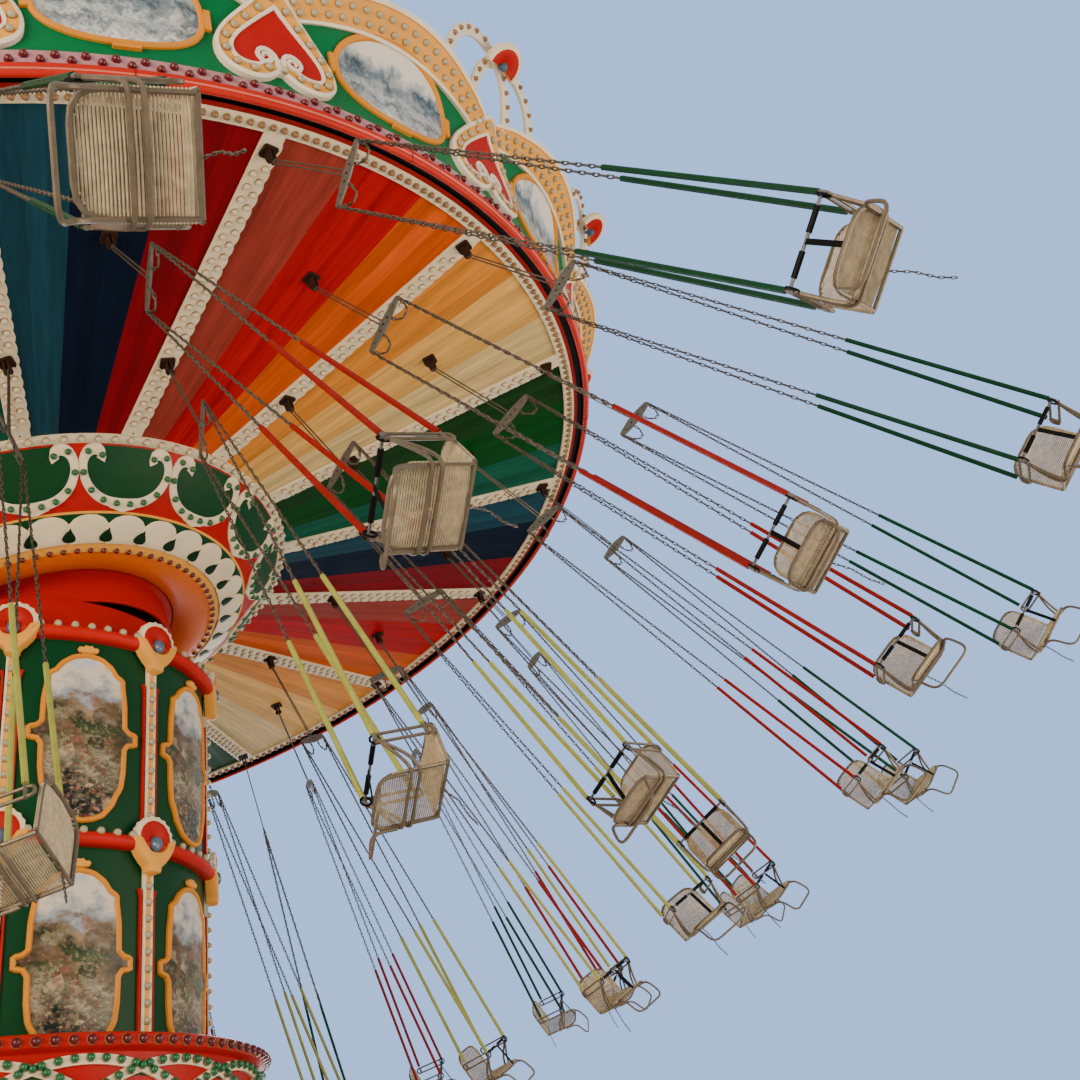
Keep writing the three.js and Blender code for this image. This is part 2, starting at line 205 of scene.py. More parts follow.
@dataclass
class Mould:
    """A modelled shape read off its object, ready to be bent, painted and copied into place."""

    points: np.ndarray
    corners: np.ndarray
    sizes: np.ndarray
    finish: np.ndarray
    paint: np.ndarray
    flat: np.ndarray

    @classmethod
    def lift(cls, piece: bpy.types.Object, paint: Paint = Paint.CREAM, finish: int = 0) -> "Mould":
        """Reads a modelled object into arrays and removes it.

        Args:
            piece: A mesh object at its place.
            paint: Colour of all its faces.
            finish: Number of the finish on all its faces.

        Returns:
            The shape as a mould.
        """
        mesh = piece.data
        points = np.empty(len(mesh.vertices) * 3, np.float32)
        mesh.vertices.foreach_get("co", points)
        world = np.array(piece.matrix_basis)
        points = points.reshape(-1, 3).astype(float) @ world[:3, :3].T + world[:3, 3]
        corners = np.empty(len(mesh.loops), np.int32)
        mesh.loops.foreach_get("vertex_index", corners)
        sizes = np.empty(len(mesh.polygons), np.int32)
        mesh.polygons.foreach_get("loop_total", sizes)
        bpy.data.objects.remove(piece)
        bpy.data.meshes.remove(mesh)
        colour = np.tile(np.array(to_linear(paint.value)), (len(sizes), 1))
        number = np.full(len(sizes), finish, np.int32)
        return cls(points, corners, sizes, number, colour, points[:, :2].copy())

    def centres(self) -> np.ndarray:
        """Returns the middle of each face."""
        starts = np.concatenate(([0], np.cumsum(self.sizes)[:-1]))
        return np.add.reduceat(self.points[self.corners], starts) / self.sizes[:, None]

    def with_points(self, points: np.ndarray) -> "Mould":
        """Returns the same mesh with its vertices at other places."""
        return Mould(points, self.corners, self.sizes, self.finish, self.paint, self.flat)

    def bent(self, rule: Callable[[np.ndarray], np.ndarray]) -> "Mould":
        """Returns the mould with a rule applied to its vertices."""
        return self.with_points(rule(self.points))

    def moved(self, x: float = 0.0, y: float = 0.0, z: float = 0.0) -> "Mould":
        """Returns the mould shifted along its axes."""
        return self.with_points(self.points + [x, y, z])

    def mapped(self, rule: Callable[[np.ndarray], np.ndarray]) -> "Mould":
        """Returns the mould with surface coordinates from its vertices."""
        return Mould(self.points, self.corners, self.sizes, self.finish, self.paint, rule(self.points))

    def painted(self, paint: "Paint | np.ndarray", where: np.ndarray | None = None,
                finish: int | None = None) -> "Mould":
        """Paints faces.

        Args:
            paint: A paint, or linear colours.
            where: Which faces, or all of them.
            finish: Number of the finish that they get, if it changes.

        Returns:
            The painted mould.
        """
        colour, number = self.paint.copy(), self.finish.copy()
        chosen = np.ones(len(self.sizes), bool) if where is None else where
        colour[chosen] = to_linear(paint.value) if isinstance(paint, Paint) else paint
        if finish is not None:
            number[chosen] = finish
        return Mould(self.points, self.corners, self.sizes, number, colour, self.flat)

    def copies(self, places: np.ndarray) -> "Mould":
        """Copies the mould to several places.

        Args:
            places: One 4 by 4 matrix per copy.

        Returns:
            All copies as one mould.
        """
        count, size = len(places), len(self.points)
        points = np.einsum("mij,nj->mni", places[:, :3, :3], self.points) + places[:, None, :3, 3]
        step = np.repeat(np.arange(count) * size, len(self.corners))
        return Mould(
            points.reshape(-1, 3),
            np.tile(self.corners, count) + step,
            np.tile(self.sizes, count),
            np.tile(self.finish, count),
            np.tile(self.paint, (count, 1)),
            np.tile(self.flat, (count, 1)),
        )

    def placed(self, place: Matrix | np.ndarray) -> "Mould":
        """Returns the mould moved by one matrix."""
        return self.copies(np.array(place)[None])

    def flipped(self) -> "Mould":
        """Returns the mould with its faces turned round, for one that was mirrored."""
        ends = np.cumsum(self.sizes)
        order = np.concatenate([np.arange(e - 1, e - s - 1, -1) for e, s in zip(ends, self.sizes)])
        return Mould(self.points, self.corners[order], self.sizes, self.finish, self.paint, self.flat)

    def mirrored(self, axis: int = 0) -> "Mould":
        """Returns the mirror image across the plane square to an axis."""
        points = self.points.copy()
        points[:, axis] *= -1.0
        return self.with_points(points).flipped()


def fused(parts: Sequence[Mould]) -> Mould:
    """Lays several moulds into one.

    Args:
        parts: The moulds, in order.

    Returns:
        One mould that holds them all.
    """
    starts = np.cumsum([0] + [len(p.points) for p in parts[:-1]])
    return Mould(
        np.concatenate([p.points for p in parts]),
        np.concatenate([p.corners + s for p, s in zip(parts, starts)]),
        np.concatenate([p.sizes for p in parts]),
        np.concatenate([p.finish for p in parts]),
        np.concatenate([p.paint for p in parts]),
        np.concatenate([p.flat for p in parts]),
    )


def add_node(tree: bpy.types.NodeTree, kind: str, links: dict | None = None,
             **settings: object) -> bpy.types.Node:
    """Adds a shader node with its settings and links.

    Args:
        tree: Node tree of the material.
        kind: Node type, without its prefix.
        links: Input name or number, with the socket or value that goes there.
        **settings: Properties of the node.

    Returns:
        The node.
    """
    made = tree.nodes.new("ShaderNode" + kind)
    for key, value in settings.items():
        setattr(made, key, value)
    for key, value in (links or {}).items():
        if isinstance(value, bpy.types.NodeSocket):
            tree.links.new(value, made.inputs[key])
        else:
            made.inputs[key].default_value = value
    return made


def noise(tree: bpy.types.NodeTree, where: bpy.types.NodeSocket, scale: float,
          detail: float) -> bpy.types.NodeSocket:
    """Returns noise over some coordinates."""
    return add_node(tree, "TexNoise", {"Vector": where, "Scale": scale, "Detail": detail}).outputs[0]


def ranged(tree: bpy.types.NodeTree, value: bpy.types.NodeSocket, source: tuple[float, float] = (0.0, 1.0),
           target: tuple[float, float] = (0.0, 1.0)) -> bpy.types.NodeSocket:
    """Maps a value from one range to another.

    Args:
        tree: Node tree of the material.
        value: The value.
        source: Its range.
        target: The range that it gets.

    Returns:
        The mapped value.
    """
    ends = {"From Min": source[0], "From Max": source[1], "To Min": target[0], "To Max": target[1]}
    return add_node(tree, "MapRange", {"Value": value, **ends}).outputs[0]


def combined(tree: bpy.types.NodeTree, operation: str,
             *values: bpy.types.NodeSocket | float) -> bpy.types.NodeSocket:
    """Returns the result of a math node on sockets or numbers."""
    return add_node(tree, "Math", dict(enumerate(values)), operation=operation).outputs[0]


def blended(tree: bpy.types.NodeTree, share: bpy.types.NodeSocket, first: object,
            second: object) -> bpy.types.NodeSocket:
    """Returns the mix of two colours, each a socket or linear values."""
    return add_node(tree, "Mix", {0: share, 6: first, 7: second}, data_type="RGBA").outputs[2]


def new_material(name: str) -> tuple[bpy.types.Material, bpy.types.NodeTree, bpy.types.Node]:
    """Starts a material with nodes.

    Args:
        name: What it is made of.

    Returns:
        The material, its node tree and its main shader.
    """
    made = bpy.data.materials.new(name)
    made.use_nodes = True
    return made, made.node_tree, made.node_tree.nodes["Principled BSDF"]


@dataclass(frozen=True)
class Finish:
    """A painted or bare surface: its colour comes from each face's paint, with wear drawn by noise."""

    name: str
    roughness: float = 0.4
    metallic: float = 0.0
    wear_scale: float = 3.0
    wear: float = 0.16
    grain_scale: float = 60.0
    grain: float = 0.08
    coat: float = 0.0
    gloss: float = 0.15
    stretch: tuple[float, float, float] | None = None

    def coordinates(self, tree: bpy.types.NodeTree) -> bpy.types.NodeSocket:
        """Returns the coordinates that the pattern follows.

        Args:
            tree: Node tree of the material.

        Returns:
            Object coordinates, or stretched surface coordinates.
        """
        source = add_node(tree, "TexCoord")
        if self.stretch is None:
            return source.outputs["Object"]
        return add_node(tree, "Mapping", {"Vector": source.outputs["UV"], "Scale": self.stretch}).outputs[0]

    def colour(self, tree: bpy.types.NodeTree, where: bpy.types.NodeSocket) -> bpy.types.NodeSocket:
        """Draws the surface colour: the face's paint with soft stains and fine mottling.

        Args:
            tree: Node tree of the material.
            where: Coordinates of the pattern.

        Returns:
            The colour socket.
        """
        paint = add_node(tree, "Attribute", attribute_name="paint")
        stains = ranged(tree, noise(tree, where, self.wear_scale, 6.0), (0.3, 0.7),
                        (1.0 - self.wear, 1.0 + 0.35 * self.wear))
        mottle = ranged(tree, noise(tree, where, self.grain_scale, 3.0), (0.3, 0.7),
                        (1.0 - self.grain, 1.0 + 0.5 * self.grain))
        both = combined(tree, "MULTIPLY", stains, mottle)
        return add_node(tree, "VectorMath", {0: paint.outputs["Color"], "Scale": both},
                        operation="SCALE").outputs[0]

    def build(self) -> bpy.types.Material:
        """Makes the material once, and finds it again later.

        Returns:
            The Blender material.
        """
        found = bpy.data.materials.get(self.name)
        if found:
            return found
        made, tree, shader = new_material(self.name)
        where = self.coordinates(tree)
        tree.links.new(self.colour(tree, where), shader.inputs["Base Color"])
        rough = noise(tree, where, self.grain_scale * 0.5, 4.0)
        spread = ranged(tree, rough, (0.25, 0.75), (self.roughness * 0.8, self.roughness * 1.2))
        tree.links.new(spread, shader.inputs["Roughness"])
        bump = add_node(tree, "Bump", {"Height": rough, "Strength": 0.12, "Distance": 0.004})
        tree.links.new(bump.outputs[0], shader.inputs["Normal"])
        shader.inputs["Metallic"].default_value = self.metallic
        shader.inputs["Coat Weight"].default_value = self.coat
        shader.inputs["Specular IOR Level"].default_value = self.gloss
        return made


class Scenery(Enum):
    """Kinds of painted picture, each generic."""

    GARDEN = "printed garden picture under varnish"
    MOUNTAIN = "printed mountain picture under varnish"


@dataclass(frozen=True)
class PictureFinish:
    """A varnished board with a generic scene: soft dabs of colour, in bands from sky to foreground."""

    scenery: Scenery
    bands: tuple[tuple[float, str], ...]
    blocks: tuple[tuple[float, str], ...]
    dabs: tuple[tuple[float, str], ...]
    shape: tuple[float, float, float]
    block_share: float
    dab_share: float
    drift: float
    grove: float

    def ramp(self, tree: bpy.types.NodeTree, factor: bpy.types.NodeSocket,
             stops: tuple[tuple[float, str], ...]) -> bpy.types.NodeSocket:
        """Turns a value into one of the picture's colours.

        Args:
            tree: Node tree of the material.
            factor: Value from 0 to 1.
            stops: Places and sRGB colours of the ramp.

        Returns:
            The colour socket.
        """
        ramp = add_node(tree, "ValToRGB", {0: factor})
        band = ramp.color_ramp
        while len(band.elements) < len(stops):
            band.elements.new(0.5)
        for element, (place, colour) in zip(band.elements, stops):
            element.position = place
            element.color = (*to_linear(colour), 1.0)
        return ramp.outputs[0]

    def build(self) -> bpy.types.Material:
        """Makes the material once, and finds it again later.

        Returns:
            The Blender material.
        """
        found = bpy.data.materials.get(self.scenery.value)
        if found:
            return found
        made, tree, shader = new_material(self.scenery.value)
        source = add_node(tree, "TexCoord").outputs["UV"]
        split = add_node(tree, "SeparateXYZ", {0: source})
        flat = add_node(tree, "Mapping", {"Vector": source, "Scale": self.shape}).outputs[0]
        drift = add_node(tree, "TexNoise", {"Vector": flat, "Scale": 2.2, "Detail": 8.0, "Roughness": 0.6})
        sway = ranged(tree, drift.outputs[0], (0.25, 0.75), (-0.4, 0.4))
        height = ranged(tree, combined(tree, "ADD", split.outputs[1], sway), (-1.0, 1.0))
        picture = self.ramp(tree, height, self.bands)
        ripple = add_node(tree, "TexNoise", {"Vector": flat, "Scale": 7.0, "Detail": 4.0}).outputs["Color"]
        brushed = add_node(tree, "VectorMath", {0: ripple, 1: (0.22, 0.22, 0.0), 2: flat},
                           operation="MULTIPLY_ADD")
        for scale, stops, most, top, low in ((3.4, self.blocks, self.block_share, 0.78, 0.62),
                                             (20.0, self.dabs, self.dab_share, 0.66, 0.4)):
            cells = add_node(tree, "TexVoronoi", {"Vector": brushed.outputs[0], "Scale": scale,
                                                  "Randomness": 0.9})
            tone = add_node(tree, "SeparateXYZ", {0: cells.outputs["Color"]}).outputs[0]
            where = ranged(tree, noise(tree, flat, scale * 0.45, 6.0), (0.46, 0.54), (0.0, most))
            share = combined(tree, "MULTIPLY", where, ranged(tree, height, (top, low)))
            picture = blended(tree, share, picture, self.ramp(tree, tone, stops))
        across = combined(tree, "WRAP", split.outputs[0], self.drift / 2, -self.drift / 2)
        flank = combined(tree, "ABSOLUTE", combined(tree, "ADD", across, sway))
        side = ranged(tree, flank, (0.5, 0.95), (0.0, self.grove))
        grove = combined(tree, "MULTIPLY", side, ranged(tree, height, (0.85, 0.6)))
        picture = blended(tree, grove, picture, (*to_linear("#101C10"), 1.0))
        tree.links.new(picture, shader.inputs["Base Color"])
        shader.inputs["Roughness"].default_value = 0.3
        shader.inputs["Specular IOR Level"].default_value = 0.2
        shader.inputs["Coat Weight"].default_value = 0.15
        shader.inputs["Coat Roughness"].default_value = 0.15
        return made


# Gloss alkyd enamel brushed over steel and boards: even colour, soft sheen, faint stains.
ENAMEL = Finish("gloss alkyd enamel on steel", roughness=0.36, wear_scale=1.6, wear=0.16, grain_scale=40.0)
# Enamel on the ceiling boards, streaked along the rays by rain and rollers.
CEILING_ENAMEL = Finish("streaked enamel on ceiling boards", roughness=0.62, wear_scale=1.0, wear=0.28,
                        grain_scale=4.0, grain=0.14, gloss=0.06, stretch=(9.0, 0.55, 1.0))
# Satin enamel on plywood fretwork, a little duller than on steel.
FRETWORK = Finish("satin enamel on fretwork boards", roughness=0.45, wear_scale=3.0, wear=0.12,
                  grain_scale=70.0)
# Moulded acrylic caps over the lamps: smooth, waxy, slightly uneven.
LAMP_CAP = Finish("moulded acrylic lamp cap", roughness=0.28, wear_scale=14.0, wear=0.14, grain_scale=90.0,
                  grain=0.05, coat=0.4, gloss=0.4)
# Zinc-coated steel tube and bar: dull metal with cloudy spangle.
ZINC = Finish("galvanised steel tube", roughness=0.42, metallic=0.4, wear_scale=24.0, wear=0.2,
              grain_scale=160.0, grain=0.15)
# Short-link chain, galvanised and weathered dark.
CHAIN = Finish("weathered galvanised chain", roughness=0.5, metallic=0.35, wear_scale=30.0, wear=0.25,
               grain_scale=200.0)
# Extruded soft PVC sleeve over the chains: satin colour.
SLEEVE = Finish("extruded vinyl hose", roughness=0.5, wear_scale=9.0, wear=0.2, grain_scale=50.0)
# Moulded black rubber grips: matt with fine grain.
RUBBER = Finish("moulded black rubber", roughness=0.6, wear_scale=40.0, wear=0.3, grain_scale=220.0)
# Split rattan woven over the frame, dry and lightly varnished, streaked along each strand.
CANE = Finish("split rattan cane", roughness=0.55, wear_scale=26.0, wear=0.3, grain_scale=240.0, grain=0.2,
              coat=0.1)
# Forged hook with brown rust bloom.
FORGED = Finish("rust-brown forged steel", roughness=0.7, metallic=0.3, wear_scale=40.0, wear=0.4,
                grain_scale=160.0, grain=0.2)
# Sheet metal in matt paint, chalked and stained by weather.
ROOFING = Finish("chalked matt paint on sheet steel", roughness=0.7, wear_scale=1.2, wear=0.22,
                 grain_scale=120.0)
# Printed paper under varnish on the tower: a dark grove at the sides, warm ground and a pale sky.
GARDEN = PictureFinish(
    Scenery.GARDEN,
    ((0.0, "#0A0F10"), (0.16, "#18241C"), (0.28, "#6E6A58"), (0.36, "#A79C84"), (0.44, "#3E4F28"),
     (0.54, "#22331C"), (0.64, "#7A6A52"), (0.72, "#8C97A2"), (0.86, "#D3CBBA"), (1.0, "#A9B6C6")),
    ((0.0, "#1A2A14"), (0.3, "#6B523C"), (0.42, "#B49F7E"), (0.52, "#26391A"), (0.72, "#8A5A4C"),
     (0.86, "#2F4A22"), (1.0, "#C9BC9C")),
    ((0.0, "#122010"), (0.3, "#83302B"), (0.42, "#BE8C84"), (0.54, "#2C4520"), (0.76, "#B7AB88"),
     (0.9, "#35552A"), (1.0, "#5E4C70")),
    (1.0, 2.1, 1.0), 0.75, 0.6, 2.7, 0.8)
# Printed paper under varnish on the crown: snow, grey-blue slopes and haze.
MOUNTAIN = PictureFinish(
    Scenery.MOUNTAIN,
    ((0.0, "#E3E2DF"), (0.2, "#B4BCC2"), (0.3, "#55656F"), (0.4, "#C3C8CA"), (0.5, "#6C7E8B"),
     (0.6, "#36495A"), (0.7, "#9AA8B1"), (0.82, "#DAD6CE"), (1.0, "#E0DACF")),
    ((0.0, "#DADCDB"), (0.5, "#6F818E"), (1.0, "#C5C8C6")),
    ((0.0, "#DADCDB"), (0.5, "#5F717E"), (1.0, "#42545F")),
    (1.7, 1.0, 1.0), 0.5, 0.45, 3.1, 0.3)


def cast(mould: Mould, name: str, finishes: Sequence[Finish | PictureFinish], body: str,
         stands_for: Sequence[str] = (), place: Matrix = LEVEL, smooth: float = 35.0) -> bpy.types.Object:
    """Makes a finished piece of a mould, at the origin with its place in its mesh.

    Args:
        mould: Its shape.
        name: Name of the piece.
        finishes: Its finishes, by number.
        body: Body of the frame that it rides on.
        stands_for: Nodes of the frame that it replaces.
        place: Where the mould's own frame stands.
        smooth: Largest angle in degrees that is shaded smooth.

    Returns:
        The piece.
    """
    points = mould.points @ np.array(place)[:3, :3].T + np.array(place)[:3, 3]
    mesh = bpy.data.meshes.new(name)
    mesh.vertices.add(len(points))
    mesh.vertices.foreach_set("co", points.astype(np.float32).ravel())
    mesh.loops.add(len(mould.corners))
    mesh.loops.foreach_set("vertex_index", mould.corners.astype(np.int32))
    mesh.polygons.add(len(mould.sizes))
    starts = np.concatenate(([0], np.cumsum(mould.sizes)[:-1])).astype(np.int32)
    mesh.polygons.foreach_set("loop_start", starts)
    mesh.polygons.foreach_set("material_index", mould.finish.astype(np.int32))
    mesh.update(calc_edges=True)
    paint = mesh.color_attributes.new("paint", "FLOAT_COLOR", "CORNER")
    colour = np.ones((len(mould.corners), 4), np.float32)
    colour[:, :3] = np.repeat(mould.paint, mould.sizes, axis=0)
    paint.data.foreach_set("color", colour.ravel())
    layer = mesh.uv_layers.new(name="surface")
    layer.uv.foreach_set("vector", mould.flat[mould.corners].astype(np.float32).ravel())
    for finish in finishes:
        mesh.materials.append(finish.build())
    piece = bpy.data.objects.new(name, mesh)
    bpy.context.scene.collection.objects.link(piece)
    pick(piece)
    bpy.ops.object.shade_smooth_by_angle(angle=math.radians(smooth))
    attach(piece, body)
    if stands_for:
        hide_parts(*stands_for)
    LOG.info("%s: %d faces on %s", name, len(mould.sizes), body)
    return piece


def new_piece(name: str, data: bpy.types.ID) -> bpy.types.Object:
    """Puts new data on the bench as the only selected object."""
    piece = bpy.data.objects.new(name, data)
    bpy.context.scene.collection.objects.link(piece)
    pick(piece)
    return piece


def rod(path: Sequence[Sequence[float]] | np.ndarray, radius: float, paint: Paint, finish: int = 0,
        closed: bool = False, round_off: int = 1) -> Mould:
    """Bends a round rod along a path: a bevelled curve made into a mesh.

    Args:
        path: Points of its middle line.
        radius: Radius of the rod.
        paint: Its colour.
        finish: Number of its finish.
        closed: Whether the path is a loop.
        round_off: Bevel resolution, 0 for four sides, 1 for six and 2 for eight.

    Returns:
        The rod.
    """
    clear_selection()
    curve = bpy.data.curves.new("rod", "CURVE")
    curve.dimensions = "3D"
    line = curve.splines.new("POLY")
    points = np.array(path, float)
    line.points.add(len(points) - 1)
    line.points.foreach_set("co", np.column_stack([points, np.ones(len(points))]).ravel())
    line.use_cyclic_u = closed
    curve.bevel_depth = radius
    curve.bevel_resolution = round_off
    curve.use_fill_caps = not closed
    piece = new_piece("rod", curve)
    bpy.ops.object.convert(target="MESH")
    piece = bpy.context.view_layer.objects.active
    bpy.data.curves.remove(curve)
    return Mould.lift(piece, paint, finish)


def board(outline: Outline, thickness: float, paint: Paint, finish: int = 0, bevel: float = 0.0) -> Mould:
    """Saws a flat board: a filled outline in X and Y, given its thickness along Z.

    Args:
        outline: Corners of the board.
        thickness: Its thickness; its face lies at Z 0 and its back below.
        paint: Its colour.
        finish: Number of its finish.
        bevel: Width of the eased edge.

    Returns:
        The board.
    """
    clear_selection()
    curve = bpy.data.curves.new("board", "CURVE")
    curve.dimensions = "2D"
    curve.fill_mode = "BOTH"
    line = curve.splines.new("POLY")
    points = np.array(outline, float)
    line.points.add(len(points) - 1)
    line.points.foreach_set("co", np.column_stack([points, np.zeros(len(points)),
                                                   np.ones(len(points))]).ravel())
    line.use_cyclic_u = True
    curve.extrude = thickness / 2.0 - bevel
    curve.bevel_depth = bevel
    curve.bevel_resolution = 0
    curve.offset = -bevel
    piece = new_piece("board", curve)
    bpy.ops.object.convert(target="MESH")
    piece = bpy.context.view_layer.objects.active
    bpy.data.curves.remove(curve)
    with editing(piece):
        bpy.ops.mesh.remove_doubles(threshold=1e-5)
        bpy.ops.mesh.normals_make_consistent(inside=False)
        bpy.ops.transform.translate(value=(0.0, 0.0, -thickness / 2.0))
    return Mould.lift(piece, paint, finish)


def turned(profile: Sequence[tuple[float, float]], steps: int, colours: Sequence[Paint],
           start: float = 0.0, finish: int = 0) -> Mould:
    """Turns a closed profile round Z with the spin operator.

    Args:
        profile: Radius and height of each corner; the last joins the first.
        steps: Sides of the turned piece.
        colours: Paint of each side of the profile, in order; the last one goes on.
        start: Azimuth of the first corner line.
        finish: Number of its finish.

    Returns:
        The turned piece.
    """
    mesh = bpy.data.meshes.new("profile")
    corners = [(r * math.cos(start), r * math.sin(start), z) for r, z in profile]
    count = len(corners)
    mesh.from_pydata(corners, [(i, (i + 1) % count) for i in range(count)], [])
    clear_selection()
    piece = new_piece("profile", mesh)
    with editing(piece):
        bpy.ops.mesh.spin(steps=steps, angle=TAU, center=(0.0, 0.0, 0.0), axis=(0.0, 0.0, 1.0))
        bpy.ops.mesh.select_all(action="SELECT")
        bpy.ops.mesh.remove_doubles(threshold=1e-5)
        bpy.ops.mesh.normals_make_consistent(inside=False)
    mould = Mould.lift(piece, colours[0], finish)
    sides = np.array([((a[0] + b[0]) / 2, (a[1] + b[1]) / 2) for a, b in
                      zip(profile, list(profile[1:]) + [profile[0]])])
    centre = mould.centres()
    shrink = math.cos(math.pi / steps)
    seen = np.column_stack([np.hypot(centre[:, 0], centre[:, 1]) / shrink, centre[:, 2]])
    nearest = np.argmin(np.linalg.norm(seen[:, None] - sides[None], axis=2), axis=1)
    palette = [colours[min(i, len(colours) - 1)] for i in range(count)]
    return mould.painted(np.array([to_linear(p.value) for p in palette])[nearest])


def disc(sides: int, rings: Sequence[float], back: float = 0.0) -> Mould:
    """Models a flat disc of radius 1 with concentric rings, inset step by step, and a rim pushed back.

    Args:
        sides: Sides of the disc.
        rings: Radii of the inner rings, from the outermost to the innermost.
        back: Depth of the rim, or 0 for a bare face.

    Returns:
        The disc, with its face up.
    """
    clear_selection()
    bpy.ops.mesh.primitive_circle_add(vertices=sides, radius=1.0, fill_type="NGON")
    piece = bpy.context.object
    with editing(piece) as mesh:
        last = 1.0
        for ring in rings:
            bpy.ops.mesh.inset(thickness=(last - ring) * math.cos(math.pi / sides))
            last = ring
        bpy.ops.mesh.poke()
        if back:
            bpy.ops.mesh.select_all(action="DESELECT")
            for edge in bmesh.from_edit_mesh(piece.data).edges:
                if edge.is_boundary:
                    edge.select_set(True)
            bpy.ops.mesh.extrude_edges_move(TRANSFORM_OT_translate={"value": (0.0, 0.0, -back)})
            bpy.ops.mesh.select_all(action="SELECT")
            bpy.ops.mesh.normals_make_consistent(inside=False)
    mould = Mould.lift(piece)
    if mould.centres()[:, 2].mean() < -back:
        mould = mould.flipped()
    return mould


def along(outline: Outline, count: int, closed: bool = True) -> np.ndarray:
    """Spaces points evenly along a line.

    Args:
        outline: Corners of the line.
        count: Points to make.
        closed: Whether the line returns to its start.

    Returns:
        The evenly spaced points.
    """
    points = np.array(outline, float)
    if closed:
        points = np.vstack([points, points[:1]])
    run = np.concatenate(([0.0], np.cumsum(np.linalg.norm(np.diff(points, axis=0), axis=1))))
    places = np.linspace(0.0, run[-1], count, endpoint=not closed)
    return np.column_stack([np.interp(places, run, points[:, i]) for i in range(points.shape[1])])


def eased(corners: Sequence[Sequence[float]], radius: float, steps: int = 4) -> np.ndarray:
    """Rounds the corners of an open path.

    Args:
        corners: Points of the path.
        radius: Length that each bend takes of its two sides.
        steps: Segments in a bend.

    Returns:
        The path with its bends.
    """
    points = [np.array(p, float) for p in corners]
    path = [points[0]]
    for before, at, after in zip(points, points[1:], points[2:]):
        reach = min(radius, np.linalg.norm(at - before) * 0.49, np.linalg.norm(after - at) * 0.49)
        first = at + (before - at) / np.linalg.norm(before - at) * reach
        last = at + (after - at) / np.linalg.norm(after - at) * reach
        for t in np.linspace(0.0, 1.0, steps + 1):
            path.append((1 - t) ** 2 * first + 2 * t * (1 - t) * at + t**2 * last)
    return np.array(path + [points[-1]])


def smooth_line(corners: Outline, count: int) -> np.ndarray:
    """Draws a smooth closed line through corners, cut into evenly spaced points.

    Args:
        corners: Corners of the closed line.
        count: Points to make.

    Returns:
        The points.
    """
    points = np.array(corners, float)
    for _ in range(3):
        after = np.roll(points, -1, axis=0)
        points = np.stack([points * 0.75 + after * 0.25, points * 0.25 + after * 0.75], axis=1).reshape(-1, 2)
    return along(points, count)


def outwards(azimuth: float) -> np.ndarray:
    """Returns the level direction of an azimuth."""
    return np.array([math.cos(azimuth), math.sin(azimuth), 0.0])


def sideways(azimuth: float) -> np.ndarray:
    """Returns the level direction square to an azimuth, anticlockwise seen from above."""
    return np.array([-math.sin(azimuth), math.cos(azimuth), 0.0])


def framed(x: np.ndarray, y: np.ndarray, origin: Sequence[float] | np.ndarray) -> np.ndarray:
    """Gives the matrix of a frame whose Z axis is square to the other two.

    Args:
        x: Direction of its X axis.
        y: Direction of its Y axis.
        origin: Its origin.

    Returns:
        A 4 by 4 matrix.
    """
    place = np.eye(4)
    place[:3, 0], place[:3, 1], place[:3, 2], place[:3, 3] = x, y, np.cross(x, y), origin
    return place


def spots_on(places: np.ndarray, spots: np.ndarray, size: float) -> np.ndarray:
    """Gives places for small parts that stand on several frames.

    Args:
        places: One 4 by 4 matrix per frame.
        spots: The same points in each frame.
        size: Scale of the parts.

    Returns:
        One matrix per part.
    """
    seats = np.tile(np.eye(4), (len(spots), 1, 1))
    seats[:, :3, :3] *= size
    seats[:, :3, 3] = spots
    return np.einsum("aij,bjk->abik", places, seats).reshape(-1, 4, 4)


def standing(points: np.ndarray, normals: np.ndarray, size: float | np.ndarray = 1.0,
             ahead: np.ndarray | None = None) -> np.ndarray:
    """Gives matrices that stand a mould's Z axis on normals.

    Args:
        points: Where each copy stands.
        normals: Direction of its Z axis.
        size: Its scale.
        ahead: Direction of its Y axis, or any.

    Returns:
        One 4 by 4 matrix per point.
    """
    z = normals / np.linalg.norm(normals, axis=1, keepdims=True)
    guide = np.where(np.abs(z[:, 2:3]) < 0.9, [[0.0, 0.0, 1.0]],
                     [[0.0, 1.0, 0.0]]) if ahead is None else ahead
    x = np.cross(guide, z)
    x /= np.linalg.norm(x, axis=1, keepdims=True)
    y = np.cross(z, x)
    places = np.tile(np.eye(4), (len(points), 1, 1))
    scale = np.broadcast_to(np.asarray(size, float), (len(points),))[:, None]
    places[:, :3, 0], places[:, :3, 1], places[:, :3, 2] = x * scale, y * scale, z * scale
    places[:, :3, 3] = points
    return places


